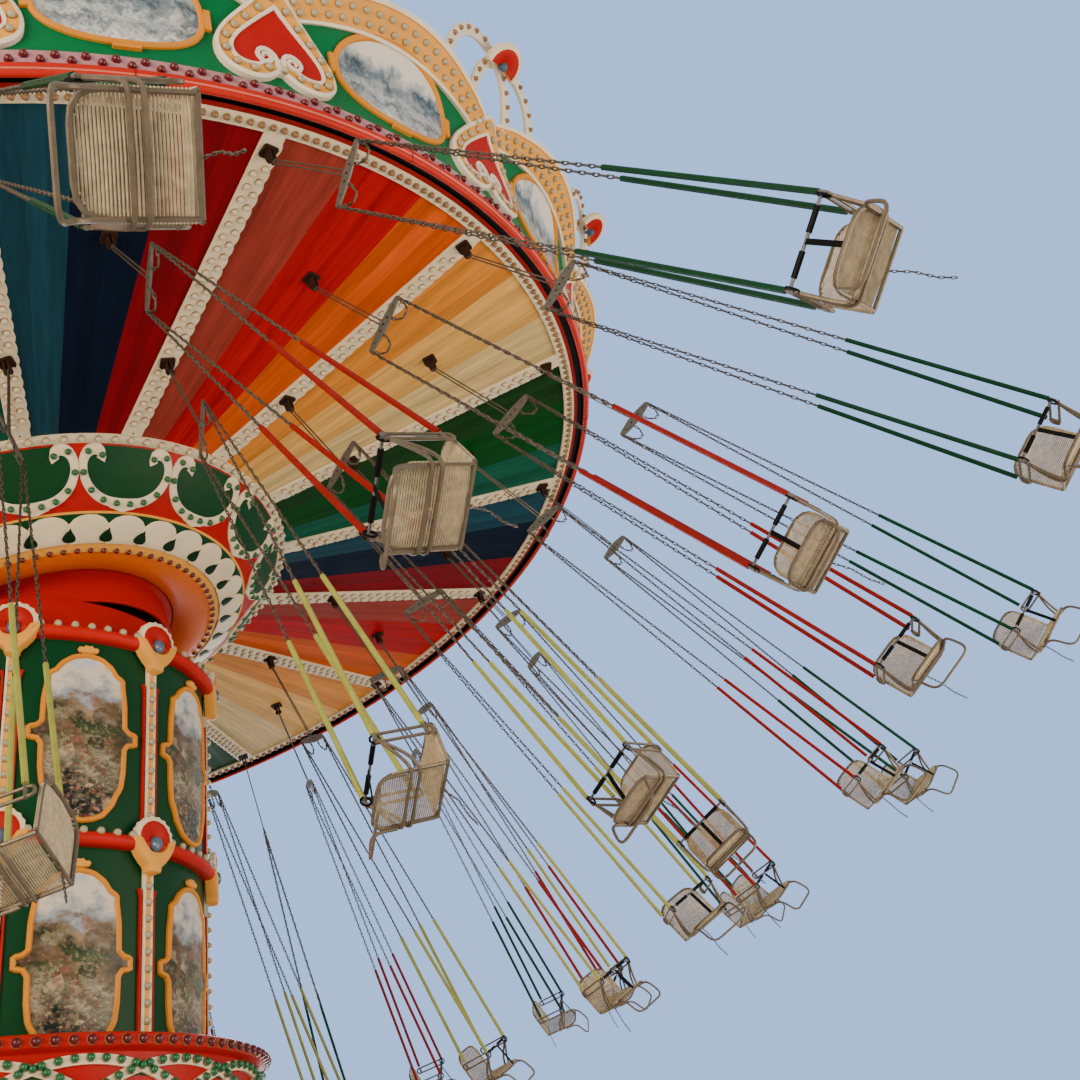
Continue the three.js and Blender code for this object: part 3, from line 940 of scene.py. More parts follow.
@dataclass(frozen=True)
class Skin:
    """A turned surface that flat work is wrapped round: u runs round it, v up its profile, w out of it."""

    profile: tuple[tuple[float, float, float], ...]
    reach: float

    def lines(self, v: np.ndarray) -> tuple[np.ndarray, np.ndarray, np.ndarray, np.ndarray]:
        """Gives radius, height and the normal's two parts at profile places.

        Args:
            v: Places along the profile.

        Returns:
            Radius, height, and the normal's radial and upright part.
        """
        table = np.array(self.profile)
        step = np.diff(table, axis=0)
        slope = step[:, 1:] / np.linalg.norm(step[:, 1:], axis=1, keepdims=True)
        knots = np.vstack([slope[:1], slope[:-1] + slope[1:], slope[-1:]])
        knots /= np.linalg.norm(knots, axis=1, keepdims=True)
        dr, dz = (np.interp(v, table[:, 0], knots[:, i]) for i in (0, 1))
        return np.interp(v, table[:, 0], table[:, 1]), np.interp(v, table[:, 0], table[:, 2]), dz, -dr

    def wrap(self, flat: np.ndarray, azimuth: float) -> np.ndarray:
        """Bends flat points onto the surface.

        Args:
            flat: Points as u, v and w in metres.
            azimuth: Azimuth of u = 0.

        Returns:
            The points in space.
        """
        r, z, out, up = self.lines(flat[:, 1])
        angle = azimuth + flat[:, 0] / self.reach
        radius = r + out * flat[:, 2]
        return np.column_stack([radius * np.cos(angle), radius * np.sin(angle), z + up * flat[:, 2]])

    def around(self, mould: Mould, azimuths: Sequence[float], drift: float = 0.0) -> Mould:
        """Wraps a copy of a flat mould at each azimuth.

        Args:
            mould: The flat mould.
            azimuths: Azimuths of u = 0.
            drift: How far the surface coordinates move on from copy to copy.

        Returns:
            All copies.
        """
        copies = []
        for number, azimuth in enumerate(azimuths):
            copies.append(Mould(self.wrap(mould.points, azimuth), mould.corners, mould.sizes, mould.finish,
                                mould.paint, mould.flat + [number * drift, 0.0]))
        return fused(copies)

    def seats(self, flat: np.ndarray, azimuths: Sequence[float], size: float) -> np.ndarray:
        """Gives places for small parts that stand on the surface.

        Args:
            flat: Points as u, v and w.
            azimuths: Azimuths of u = 0.
            size: Scale of the parts.

        Returns:
            One matrix per part.
        """
        feet = np.concatenate([self.wrap(flat, a) for a in azimuths])
        heads = np.concatenate([self.wrap(flat + [0.0, 0.0, 0.01], a) for a in azimuths])
        return standing(feet, heads - feet, size)


def sectors(shift: float = 0.0, count: int = RAYS, start: float = RAY_START) -> list[float]:
    """Gives the azimuths of all rays, or of points between them."""
    return [start + (k + shift) * TAU / count for k in range(count)]


def lamp_cap(paint: Paint, socket: Paint = Paint.SOCKET) -> Mould:
    """Models a lamp cap of radius 1: a domed cap, cut off its sphere, in a low socket.

    Args:
        paint: Colour of the cap.
        socket: Colour of the socket, darker than a pale cap as painted shade round it.

    Returns:
        The cap, standing on Z 0.
    """
    clear_selection()
    bpy.ops.mesh.primitive_uv_sphere_add(segments=7, ring_count=4, radius=1.0)
    piece = bpy.context.object
    with editing(piece):
        bpy.ops.mesh.bisect(plane_co=(0.0, 0.0, -0.01), plane_no=(0.0, 0.0, 1.0), clear_inner=True)
        bpy.ops.mesh.extrude_edges_move(TRANSFORM_OT_translate={"value": (0.0, 0.0, -0.35)})
        bpy.ops.transform.resize(value=(1.15, 1.15, 1.0))
        bpy.ops.mesh.select_all(action="SELECT")
        bpy.ops.transform.translate(value=(0.0, 0.0, 0.36))
    cap = Mould.lift(piece, paint)
    # The socket faces take the socket colour, painted shade round the cap where it is darker than the cap.
    return cap.painted(socket, cap.centres()[:, 2] < 0.3)


def slab(columns: int, rows: int, paint: Paint, finish: int = 0) -> Mould:
    """Models a closed board on a grid: X and Y from 0 to 1, its face at Z 0 and its back at Z -1.

    Args:
        columns: Cells along X.
        rows: Cells along Y.
        paint: Colour of the board.
        finish: Number of its finish.

    Returns:
        The board.
    """
    clear_selection()
    bpy.ops.mesh.primitive_grid_add(x_subdivisions=columns, y_subdivisions=rows, size=1.0,
                                    location=(0.5, 0.5, 0.0))
    piece = bpy.context.object
    with editing(piece):
        bpy.ops.mesh.extrude_region_move(TRANSFORM_OT_translate={"value": (0.0, 0.0, -1.0)})
        bpy.ops.mesh.select_all(action="SELECT")
        bpy.ops.mesh.normals_make_consistent(inside=False)
    return Mould.lift(piece, paint, finish)


def inset_line(points: np.ndarray, width: float) -> np.ndarray:
    """Moves a closed anticlockwise line inwards by a width."""
    ahead = np.roll(points, -1, axis=0) - np.roll(points, 1, axis=0)
    ahead /= np.linalg.norm(ahead, axis=1, keepdims=True)
    return points + np.column_stack([-ahead[:, 1], ahead[:, 0]]) * width


def ribbon(path: Sequence[Sequence[float]] | np.ndarray, width: float | np.ndarray, depth: float,
           paint: Paint, height: float = 0.0, finish: int = 0, crown: float = 0.0) -> Mould:
    """Lays a flat strip along a path in X and Y.

    Args:
        path: Points of its middle line.
        width: Its width, or one for each point.
        depth: Its thickness below its face.
        paint: Its colour.
        height: Z of its face.
        finish: Number of its finish.
        crown: How much higher its middle stands than its edges.

    Returns:
        The strip.
    """
    line = np.array(path, float)
    ahead = np.gradient(line, axis=0)
    ahead /= np.linalg.norm(ahead, axis=1, keepdims=True)
    left = np.column_stack([-ahead[:, 1], ahead[:, 0]])
    wide = np.broadcast_to(np.asarray(width, float), (len(line),))

    def rule(p: np.ndarray) -> np.ndarray:
        """Returns places along the strip for grid points."""
        at = np.round(p[:, 0] * (len(line) - 1)).astype(int)
        place = line[at] + left[at] * ((p[:, 1] - 0.5) * wide[at])[:, None]
        rise = np.where(p[:, 2] > -0.5, height + crown * (1.0 - np.abs(2.0 * p[:, 1] - 1.0)), height - depth)
        return np.column_stack([place, rise])

    return slab(len(line) - 1, 2 if crown else 1, paint, finish).bent(rule)


def plaque(outline: np.ndarray, rings: Sequence[tuple[float, float, float]],
           zones: Sequence[tuple[Paint, int]], back: float,
           centre: tuple[float, float] = (0.0, 0.0)) -> Mould:
    """Models a stepped plaque: a disc inset ring by ring and stretched to an outline.

    Args:
        outline: Points of its rim, anticlockwise from the top.
        rings: Inset, scale and height of each ring, from the rim inwards.
        zones: Paint and finish number between each ring and the next, and inside the last.
        back: Z of its back.
        centre: The point that its middle goes to.

    Returns:
        The plaque, with surface coordinates from -1 to 1 inside its outline.
    """
    count = len(rings)
    blank = disc(len(outline), [1.0 - j / count for j in range(1, count)], back=1.0)
    lines = [np.array(centre) + (inset_line(np.array(outline, float), inset) - centre) * scale
             for inset, scale, _ in rings]
    lines.append(np.tile(np.array(centre, float), (len(outline), 1)))
    heights = np.array([ring[2] for ring in rings] + [rings[-1][2]])
    reach = np.hypot(blank.points[:, 0], blank.points[:, 1])
    level = np.clip(np.round((1.0 - reach) * count), 0, count).astype(int)
    turn = np.round(np.arctan2(-blank.points[:, 0], blank.points[:, 1]) / TAU * len(outline)).astype(int)
    turn = np.mod(turn, len(outline))
    flat = np.array(lines)[level, turn]
    rise = np.where(blank.points[:, 2] > -0.5, heights[level], back)
    middle = blank.centres()
    zone = np.floor((1.0 - np.hypot(middle[:, 0], middle[:, 1])) * count).astype(int)
    zone = np.where(middle[:, 2] < -0.25, 0, np.clip(zone, 0, count - 1))
    half = np.abs(lines[0] - centre).max(axis=0)
    shaped = Mould(np.column_stack([flat, rise]), blank.corners, blank.sizes, blank.finish, blank.paint,
                   (flat - centre) / half)
    for number, (paint, finish) in enumerate(zones):
        shaped = shaped.painted(paint, zone == number, finish)
    return shaped


def both_sides(half: Outline) -> list[tuple[float, float]]:
    """Mirrors half an outline, given from top to bottom, into a whole one, anticlockwise from the top."""
    left = [(-u, v) for u, v in half]
    right = [(u, v) for u, v in reversed(half) if u > 1e-6]
    return left + right


def oval(width: float, height: float, count: int, lobes: float = 0.0) -> np.ndarray:
    """Draws an oval, anticlockwise from the top.

    Args:
        width: Half its width.
        height: Half its height.
        count: Points to make.
        lobes: How square it is, from 0.

    Returns:
        Its points.
    """
    turn = np.arange(count) * TAU / count
    power = 1.0 - lobes
    c, s = np.cos(turn), np.sin(turn)
    return np.column_stack([-width * np.sign(s) * np.abs(s) ** power,
                            height * np.sign(c) * np.abs(c) ** power])


def shell(radius: float, spread: float, thickness: float, ridges: int = 12) -> Mould:
    """Models a fan shell: ridged red lobes in a cream scalloped fringe.

    Args:
        radius: Its radius.
        spread: Half angle of the fan.
        thickness: Its thickness.
        ridges: Number of lobes.

    Returns:
        The shell, its fan axis along Y and its face up.
    """
    blank = slab(ridges * 2, 6, Paint.RED)
    steps = np.array([0.0, 0.35, 0.62, 0.72, 0.80, 0.92, 1.0])

    def rule(p: np.ndarray) -> np.ndarray:
        """Returns fan places for grid points."""
        share = steps[np.round(p[:, 1] * 6).astype(int)]
        turn = (0.5 - p[:, 0]) * 2.0 * spread
        wave = np.abs(np.sin(p[:, 0] * ridges * math.pi))
        reach = radius * (0.05 + 0.95 * share) * (1.0 + 0.05 * wave * (share > 0.95))
        rise = np.where(p[:, 2] > -0.5, radius * (0.16 * np.sin(share * 2.6) + 0.035 * wave * share),
                        -thickness)
        return np.column_stack([-reach * np.sin(turn), reach * np.cos(turn), rise])

    middle = blank.centres()
    fan = blank.bent(rule)
    front = middle[:, 2] > -0.25
    fan = fan.painted(Paint.YELLOW, (middle[:, 1] > 4 / 6) | ~front)
    return fan.painted(Paint.CREAM, (middle[:, 1] > 5 / 6 - 0.1) & front | (middle[:, 1] > 0.99))


def ray_z(radius: float | np.ndarray) -> float | np.ndarray:
    """Returns the height of the rays' underside in the canopy's frame."""
    return RAY_INNER_Z + (radius - RAY_INNER_RADIUS) * RAY_SLOPE


def ray_place(azimuth: float) -> np.ndarray:
    """Gives the frame of one ray: X round the canopy, Y outwards along its underside, Z down.

    Args:
        azimuth: Direction of the ray.

    Returns:
        A 4 by 4 matrix.
    """
    slope = math.atan(RAY_SLOPE)
    ahead = outwards(azimuth) * math.cos(slope) + UPRIGHT * math.sin(slope)
    return framed(sideways(azimuth), ahead, UPRIGHT * ray_z(0.0))


CEILING_SKIN = Skin(tuple((r, r, ray_z(r) + RAY_DEPTH) for r in (2.2, 5.75)), 4.0)


def wall_skin(radius: float) -> Skin:
    """Returns the skin of an upright round wall."""
    return Skin(((-2.0, radius, -2.0), (12.0, radius, 12.0)), radius)


@dataclass(frozen=True)
class Studio:
    """Camera at the photograph's place, pale floor, soft lamps and a pale sky."""

    lens: float = 43.48
    eye: tuple[float, float, float] = (0.0, -12.086, 1.5)
    right: tuple[float, float, float] = (0.93388774, -0.33363956, -0.12860148)
    up: tuple[float, float, float] = (-0.05720363, -0.49443166, 0.86733216)
    ahead: tuple[float, float, float] = (0.35296096, 0.8026344, 0.48082906)

    def camera(self) -> None:
        """Sets the camera."""
        data = bpy.data.cameras.new("camera")
        data.lens, data.sensor_width, data.clip_end = self.lens, 36.0, 500.0
        camera = bpy.data.objects.new("camera", data)
        bpy.context.scene.collection.objects.link(camera)
        turn = Matrix((self.right, self.up, tuple(-c for c in self.ahead))).transposed().to_4x4()
        camera.matrix_world = Matrix.Translation(self.eye) @ turn
        bpy.context.scene.camera = camera

    def floor(self) -> None:
        """Lays the pale floor."""
        clear_selection()
        bpy.ops.mesh.primitive_plane_add(size=160.0)
        floor = bpy.context.object
        floor.name = "studio_floor"
        # Matt plaster, hardly mottled, so that it stays behind the ride.
        made, tree, shader = new_material("matt pale plaster floor")
        cloud = noise(tree, add_node(tree, "TexCoord").outputs["Object"], 0.4, 3.0)
        ramp = add_node(tree, "ValToRGB", {0: cloud})
        for element, colour in zip(ramp.color_ramp.elements, ("#C9C8C4", "#D6D5D1")):
            element.color = (*to_linear(colour), 1.0)
        tree.links.new(ramp.outputs[0], shader.inputs["Base Color"])
        shader.inputs["Roughness"].default_value = 0.9
        floor.data.materials.append(made)

    def lamp(self, name: str, place: Sequence[float], aim: Sequence[float], size: float, watts: float,
             colour: str) -> None:
        """Hangs one soft lamp.

        Args:
            name: Its name.
            place: Where it hangs.
            aim: The point that it lights.
            size: Side of its square.
            watts: Its power.
            colour: Its sRGB colour.
        """
        data = bpy.data.lights.new(name, "AREA")
        data.shape, data.size, data.energy, data.color = "SQUARE", size, watts, to_linear(colour)
        lamp = bpy.data.objects.new(name, data)
        bpy.context.scene.collection.objects.link(lamp)
        lamp.location = place
        lamp.rotation_euler = (Vector(aim) - Vector(place)).to_track_quat("-Z", "Y").to_euler()

    def build(self) -> None:
        """Sets up the whole studio."""
        self.camera()
        self.floor()
        world = bpy.data.worlds.new("pale sky")
        world.use_nodes = True
        tree = world.node_tree
        seen = add_node(tree, "LightPath").outputs["Is Camera Ray"]
        sky = blended(tree, seen, (*to_linear("#D9DCE0"), 1.0), (*to_linear("#A3C6FA"), 1.0))
        glow = ranged(tree, seen, target=(0.8, 1.35))
        tree.links.new(sky, tree.nodes["Background"].inputs["Color"])
        tree.links.new(glow, tree.nodes["Background"].inputs["Strength"])
        bpy.context.scene.world = world
        self.lamp("key", (-13.0, -17.0, 5.0), (0.0, 0.0, 7.2), 12.0, 5200.0, "#FFE6C4")
        self.lamp("fill", (14.0, -10.0, 3.0), (0.5, 0.0, 7.2), 12.0, 2300.0, "#FFEAD0")
        self.lamp("back", (4.0, 18.0, 7.0), (0.0, 0.0, 8.0), 12.0, 2400.0, "#F2F4FF")


@dataclass(frozen=True)
class BaseDrum:
    """Fixed drum under the tower, with its lamp ring and interlaced arcade."""

    wall: float = 1.93
    arches: int = 16
    foot: float = 2.0
    peak: float = 3.15
    bend: float = 1.3
    strip: float = 0.07
    ring_lamps: int = 100
    profile: tuple[tuple[float, float], ...] = (
        (0.0, 0.0), (2.15, 0.0), (2.15, 0.13), (2.14, 0.14), (1.95, 0.17), (1.93, 0.19), (1.93, 3.2),
        (1.955, 3.222), (1.99, 3.232), (2.0, 3.245), (2.0, 3.3), (1.99, 3.315), (1.96, 3.33), (1.85, 3.33),
        (1.85, 0.06), (0.5705, 0.06), (0.5705, 3.2), (0.5005, 3.2), (0.5005, 0.06), (0.0, 0.06))

    def arch(self, shares: np.ndarray) -> np.ndarray:
        """Returns points of one round arch.

        Args:
            shares: Distances from its middle, in arch steps.

        Returns:
            Their places on the wall.
        """
        x = np.asarray(shares, float) * TAU * self.wall / self.arches
        return np.column_stack([x, self.peak - self.bend + np.sqrt(self.bend**2 - x**2)])

    def field(self) -> Mould:
        """Returns the green board between two posts, under the crossing of two arches."""
        left = self.arch(np.linspace(-1.0, -0.5, 8)) + [TAU * self.wall / self.arches, 0.0]
        right = self.arch(np.linspace(0.5, 1.0, 8))[1:]
        top = np.vstack([left, right])[::-1]
        outline = [(top[-1][0], self.foot), (top[0][0], self.foot)] + [tuple(p) for p in top]
        return board(outline, 0.012, Paint.GREEN).moved(z=0.006)

    def arcade(self, starts: Sequence[float]) -> Mould:
        """Returns fields, interlaced arches, posts and rail round the drum.

        Args:
            starts: Azimuths of the arches' middles.

        Returns:
            All of the fretwork.
        """
        skin = wall_skin(self.wall)
        line = self.arch(np.linspace(-1.0, 1.0, 25))
        work = [skin.around(self.field(), starts)]
        for first, height in ((0, 0.018), (1, 0.028)):
            strip = ribbon(line, self.strip, height, Paint.CREAM, height=height)
            work.append(skin.around(strip, starts[first::2]))
        post = ribbon([(0.0, self.foot), (0.0, line[0, 1] + 0.02)], self.strip, 0.034, Paint.CREAM,
                      height=0.034)
        rail = ribbon([(x, self.foot) for x in np.linspace(0.0, TAU * self.wall, 97)], 0.08, 0.04,
                      Paint.CREAM, 0.04)
        return fused(work + [skin.around(post, starts), skin.around(rail, [0.0])])

    def seats(self) -> np.ndarray:
        """Returns the lamp places of one arch: over its top, on one crossing and down its sides."""
        flank = 0.5 + 0.118 * np.arange(1, 5)
        shares = np.concatenate([np.arange(-3, 4) / 7.0, [0.5], flank, -flank])
        return np.column_stack([self.arch(shares) + [0.0, 0.008], np.full(len(shares), 0.028)])

    def build(self) -> None:
        """Builds and dresses the drum."""
        colours = [Paint.STEEL] + [Paint.RING_RED] * 4 + [Paint.RED] * 2 + [Paint.RING_RED]
        drum = turned(self.profile, 128, colours)
        middle = drum.centres()
        out = np.hypot(middle[:, 0], middle[:, 1])
        cast(drum.painted(Paint.STEEL, out < 1.88), "base_shell", [ENAMEL], "base",
             ["base_drum"])
        starts = [PILASTER_START + k * TAU / self.arches for k in range(self.arches)]
        cast(self.arcade(starts), "base_arcade", [FRETWORK], "base")
        places = wall_skin(self.wall).seats(self.seats(), starts, 0.032)
        turns = [k * TAU / self.ring_lamps for k in range(self.ring_lamps)]
        ring = wall_skin(1.999).seats(np.array([[0.0, 3.272, 0.0]]), turns, 0.037)
        lamps = fused([lamp_cap(Paint.BULB_GREEN).copies(places), lamp_cap(Paint.BULB_RED).copies(ring)])
        cast(lamps, "base_lamps", [LAMP_CAP], "base", smooth=60.0)


@dataclass(frozen=True)
class LiftMast:
    """Steel tube that raises the tower, with its bearing flange."""

    bolts: int = 16
    bolt_circle: float = 0.68
    flange_z: float = 6.5597
    profile: tuple[tuple[float, float], ...] = (
        (0.44, 1.9), (0.5, 1.9), (0.5, 6.5397), (0.52, 6.5597), (0.8, 6.5797), (0.8, 6.6397), (0.44, 6.6397))

    def build(self) -> None:
        """Builds and dresses the mast with its flange bolts."""
        tube = turned(self.profile, 64, [Paint.STEEL])
        clear_selection()
        bpy.ops.mesh.primitive_cylinder_add(vertices=6, radius=0.018, depth=0.03, location=(0.0, 0.0, 0.0))
        bolt = Mould.lift(bpy.context.object, Paint.STEEL)
        spots = np.array([outwards(a) * self.bolt_circle for a in np.arange(self.bolts) * TAU / self.bolts])
        bolts = bolt.copies(standing(spots + UPRIGHT * self.flange_z, np.tile(-UPRIGHT, (self.bolts, 1))))
        cast(fused([tube, bolts]), "mast_tube", [ZINC], "mast", ["lift_mast"])


@dataclass(frozen=True)
class Tower:
    """Round green casing with framed pictures, pilasters, lamp rings and shell capitals."""

    radius: float = 1.5
    rings: tuple[float, ...] = (4.862, 6.635)
    panels: tuple[float, ...] = (3.92, 5.75)
    ring_lamps: int = 72
    lamp_pitch: float = 0.13
    guard_radius: float = 1.2
    guard_drop: float = 0.30
    cheek_offset: float = 0.4503
    cheek_thickness: float = 0.0494
    frame_half: tuple[tuple[float, float], ...] = (
        (0.0, 0.72), (0.12, 0.70), (0.22, 0.63), (0.27, 0.555), (0.33, 0.53), (0.33, 0.47), (0.355, 0.3),
        (0.36, 0.08), (0.46, 0.06), (0.46, -0.06), (0.36, -0.08), (0.355, -0.3), (0.335, -0.45),
        (0.30, -0.50), (0.26, -0.60), (0.18, -0.70), (0.08, -0.745), (0.0, -0.755))
    shell_profile: tuple[tuple[float, float], ...] = (
        (1.44, 2.9), (1.5, 2.9), (1.5, 6.7), (1.38, 6.72), (1.2, 6.79), (1.08, 6.8), (1.06, 6.7), (0.6, 6.7),
        (0.6, 6.64), (1.44, 6.64))

    def casing(self) -> None:
        """Builds the casing with its slanted neck guard and the two bearing cheeks of the tilt axis."""
        axis = np.array(TILT_AXIS)
        guard = turned([(1.195, 6.78), (1.207, 6.78), (1.207, 7.11), (1.201, 7.12), (1.195, 7.11)], 96,
                       [Paint.RED])
        low_share = np.minimum(guard.points @ np.cross(axis, UPRIGHT) / self.guard_radius, 0.0)
        drop = np.where(guard.points[:, 2] > 7.0, self.guard_drop * low_share, 0.0)
        body = turned(self.shell_profile, 96, [Paint.GREEN, Paint.GREEN, Paint.RED])
        parts = [body, guard.bent(lambda p: p + drop[:, None] * UPRIGHT)]
        half = [(0.33, 6.696), (0.2, PIVOT_Z - 0.05), (0.19, PIVOT_Z), (0.17, PIVOT_Z + 0.09),
                (0.1, PIVOT_Z + 0.17)]
        outline = half + [(-u, v) for u, v in reversed(half)]
        cheek = board(outline, self.cheek_thickness, Paint.DEEP_RED, bevel=0.004)
        side = np.cross(UPRIGHT, axis)
        face = np.cross(side, UPRIGHT)
        for offset in (self.cheek_offset, -self.cheek_offset):
            parts.append(cheek.placed(framed(side, UPRIGHT, axis * offset + face * self.cheek_thickness / 2)))
        cast(fused(parts), "tower_shell", [ENAMEL], "tower", ["tower_casing"])

    def mouldings(self) -> Mould:
        """Returns the two red half-round rings."""
        arc = np.linspace(-math.pi / 2, math.pi / 2, 9)
        rings = []
        for z in self.rings:
            roll = [(1.555 + 0.055 * math.cos(a), z + 0.055 * math.sin(a)) for a in arc]
            profile = [(1.5003, z - 0.055), *roll, (1.5003, z + 0.055)]
            rings.append(turned(profile, 96, [Paint.RING_RED]))
        return fused(rings)

    def pilaster(self, low: float, high: float) -> Mould:
        """Returns one pilaster of a tier, at u 0.

        Args:
            low: Its foot.
            high: Its top.

        Returns:
            The pilaster's boards.
        """
        parts = [ribbon([(0.0, low), (0.0, high)], 0.05, 0.028, Paint.YELLOW, 0.03)]
        for side in (-1.0, 1.0):
            lip = [(side * 0.035, low), (side * 0.035, high)]
            strip = [(side * 0.066, low), (side * 0.066, high - 0.36), (side * 0.078, high - 0.30)]
            # The black strip at the bottom of the groove between lip and red strip is painted shade.
            painted_groove_shade = [(side * 0.052, low), (side * 0.052, high - 0.34)]
            parts += [ribbon(lip, 0.02, 0.034, Paint.CREAM, 0.036),
                      ribbon(strip, np.array([0.016, 0.018, 0.03]), 0.024, Paint.RED, 0.026),
                      ribbon(painted_groove_shade, 0.008, 0.018, Paint.BLACK, 0.019)]
        return fused(parts)

    def capital(self, z: float) -> Mould:
        """Returns one shell capital at u 0 and the height of its ring.

        Args:
            z: Height of the ring.

        Returns:
            Its fan, calyx and gem.
        """
        fan = shell(0.18, math.radians(118.0), 0.03).moved(0.0, z + 0.05, 0.085)
        half = [(0.0, -0.06), (0.05, -0.055), (0.09, -0.02), (0.115, 0.035), (0.16, 0.06), (0.212, 0.045),
                (0.19, -0.02), (0.15, -0.09), (0.10, -0.15), (0.06, -0.18), (0.055, -0.235), (0.0, -0.24)]
        line = along(both_sides(half), 40)
        calyx = plaque(line, [(0.0, 1.0, 0.10), (0.012, 1.0, 0.122), (0.03, 0.75, 0.13)],
                       [(Paint.YELLOW, 0)] * 3, 0.02, (0.0, -0.13))
        gem = plaque(oval(0.05, 0.065, 20), [(0.0, 1.0, 0.12), (0.0, 0.7, 0.145), (0.0, 0.35, 0.152)],
                     [(Paint.GEM, 1)] * 3, 0.08)
        return fused([fan, calyx.moved(y=z), gem.moved(y=z)])

    def crest(self) -> Mould:
        """Returns the small trefoil on top of a frame, at its own origin."""
        half = [(0.0, 0.05), (0.03, 0.055), (0.045, 0.035), (0.075, 0.04), (0.09, 0.015), (0.075, -0.01),
                (0.05, -0.015), (0.0, -0.02)]
        return plaque(along(both_sides(half), 32), [(0.0, 1.0, 0.02), (0.008, 1.0, 0.032)],
                      [(Paint.YELLOW, 0)] * 2, 0.0, (0.0, 0.015))

    def frame(self) -> Mould:
        """Returns one framed picture at its own origin: moulding, then the painted board."""
        line = along(both_sides(list(self.frame_half)), 88)
        rings = [(0.0, 1.0, 0.02), (0.010, 1.0, 0.034), (0.034, 1.0, 0.036), (0.046, 1.0, 0.018)]
        rings += [(0.048, scale, 0.016) for scale in (0.8, 0.6, 0.4, 0.2)]
        zones = [(Paint.FRAME_YELLOW, 0)] * 3 + [(Paint.CREAM, 1)] * 5
        return fused([plaque(line, rings, zones, 0.0), self.crest().moved(0.0, 0.735, 0.006)])

    def build(self) -> None:
        """Builds and dresses the tower."""
        self.casing()
        skin = wall_skin(self.radius)
        on = sectors(0.0, PILASTERS, PILASTER_START)
        between = sectors(0.5, PILASTERS, PILASTER_START)
        tiers = ((2.9, self.rings[0] - 0.05), (self.rings[0] + 0.05, self.rings[1] - 0.05))
        parts = [self.mouldings()] + [skin.around(self.pilaster(low, high), on) for low, high in tiers]
        parts += [skin.around(self.capital(z), on) for z in self.rings]
        cast(fused(parts), "tower_mouldings", [FRETWORK, LAMP_CAP], "tower", ["tower_trim"])
        frame = self.frame()
        pictures = [skin.around(frame.moved(y=z), between, drift=2.7) for z in self.panels]
        cast(fused(pictures), "tower_pictures", [FRETWORK, GARDEN], "tower")
        cap = lamp_cap(Paint.FROST)
        seats = []
        for low, high in tiers:
            rows = np.arange(low + 0.08, high - 0.22, self.lamp_pitch)
            seats.append(skin.seats(np.array([[0.0, y, 0.03] for y in rows]), on, 0.030))
        for z in self.rings:
            share = self.ring_lamps // PILASTERS
            for k in (k for k in range(self.ring_lamps) if 0 < k % share < share - 1):
                out = outwards(PILASTER_START + (k + 0.5) * TAU / self.ring_lamps)
                spot = out * 1.575 + UPRIGHT * (z + 0.047)
                seats.append(standing(spot[None], (out * 0.75 + UPRIGHT * 0.65)[None], 0.035))
        cast(cap.copies(np.concatenate(seats)), "tower_lamps", [LAMP_CAP], "tower", smooth=60.0)


@dataclass(frozen=True)
class TiltHead:
    """Trunnion, post and red skirt that carry the canopy and lean with it."""

    skirt: tuple[tuple[float, float], ...] = (
        (0.98, -0.99), (0.99, -1.0), (1.01, -1.0), (1.02, -0.99), (1.02, -0.72), (1.08, -0.70),
        (1.08, -0.675), (1.02, -0.66), (1.02, 0.4497), (0.09, 0.4497), (0.09, 0.39), (0.98, 0.39),
        (0.98, -0.55), (0.76, -0.55), (0.76, -0.57), (0.98, -0.57))

    def build(self) -> None:
        """Builds and dresses the head."""
        parts = [turned(self.skirt, 96, [Paint.RED])]
        axis = np.array(TILT_AXIS)
        parts.append(rod([tuple(axis * -0.45), tuple(axis * 0.45)], 0.148, Paint.STEEL, finish=1,
                         round_off=6))
        post = board([(0.4, 0.39), (-0.4, 0.39), (-0.4, -0.1), (-0.25, -0.25), (0.25, -0.25), (0.4, -0.1)],
                     0.18, Paint.DEEP_RED, bevel=0.006)
        parts.append(post.placed(framed(axis, UPRIGHT, np.cross(axis, UPRIGHT) * 0.09)))
        cast(fused(parts), "head_skirt", [ENAMEL, ZINC], "head", ["tilt_head"], CANOPY)


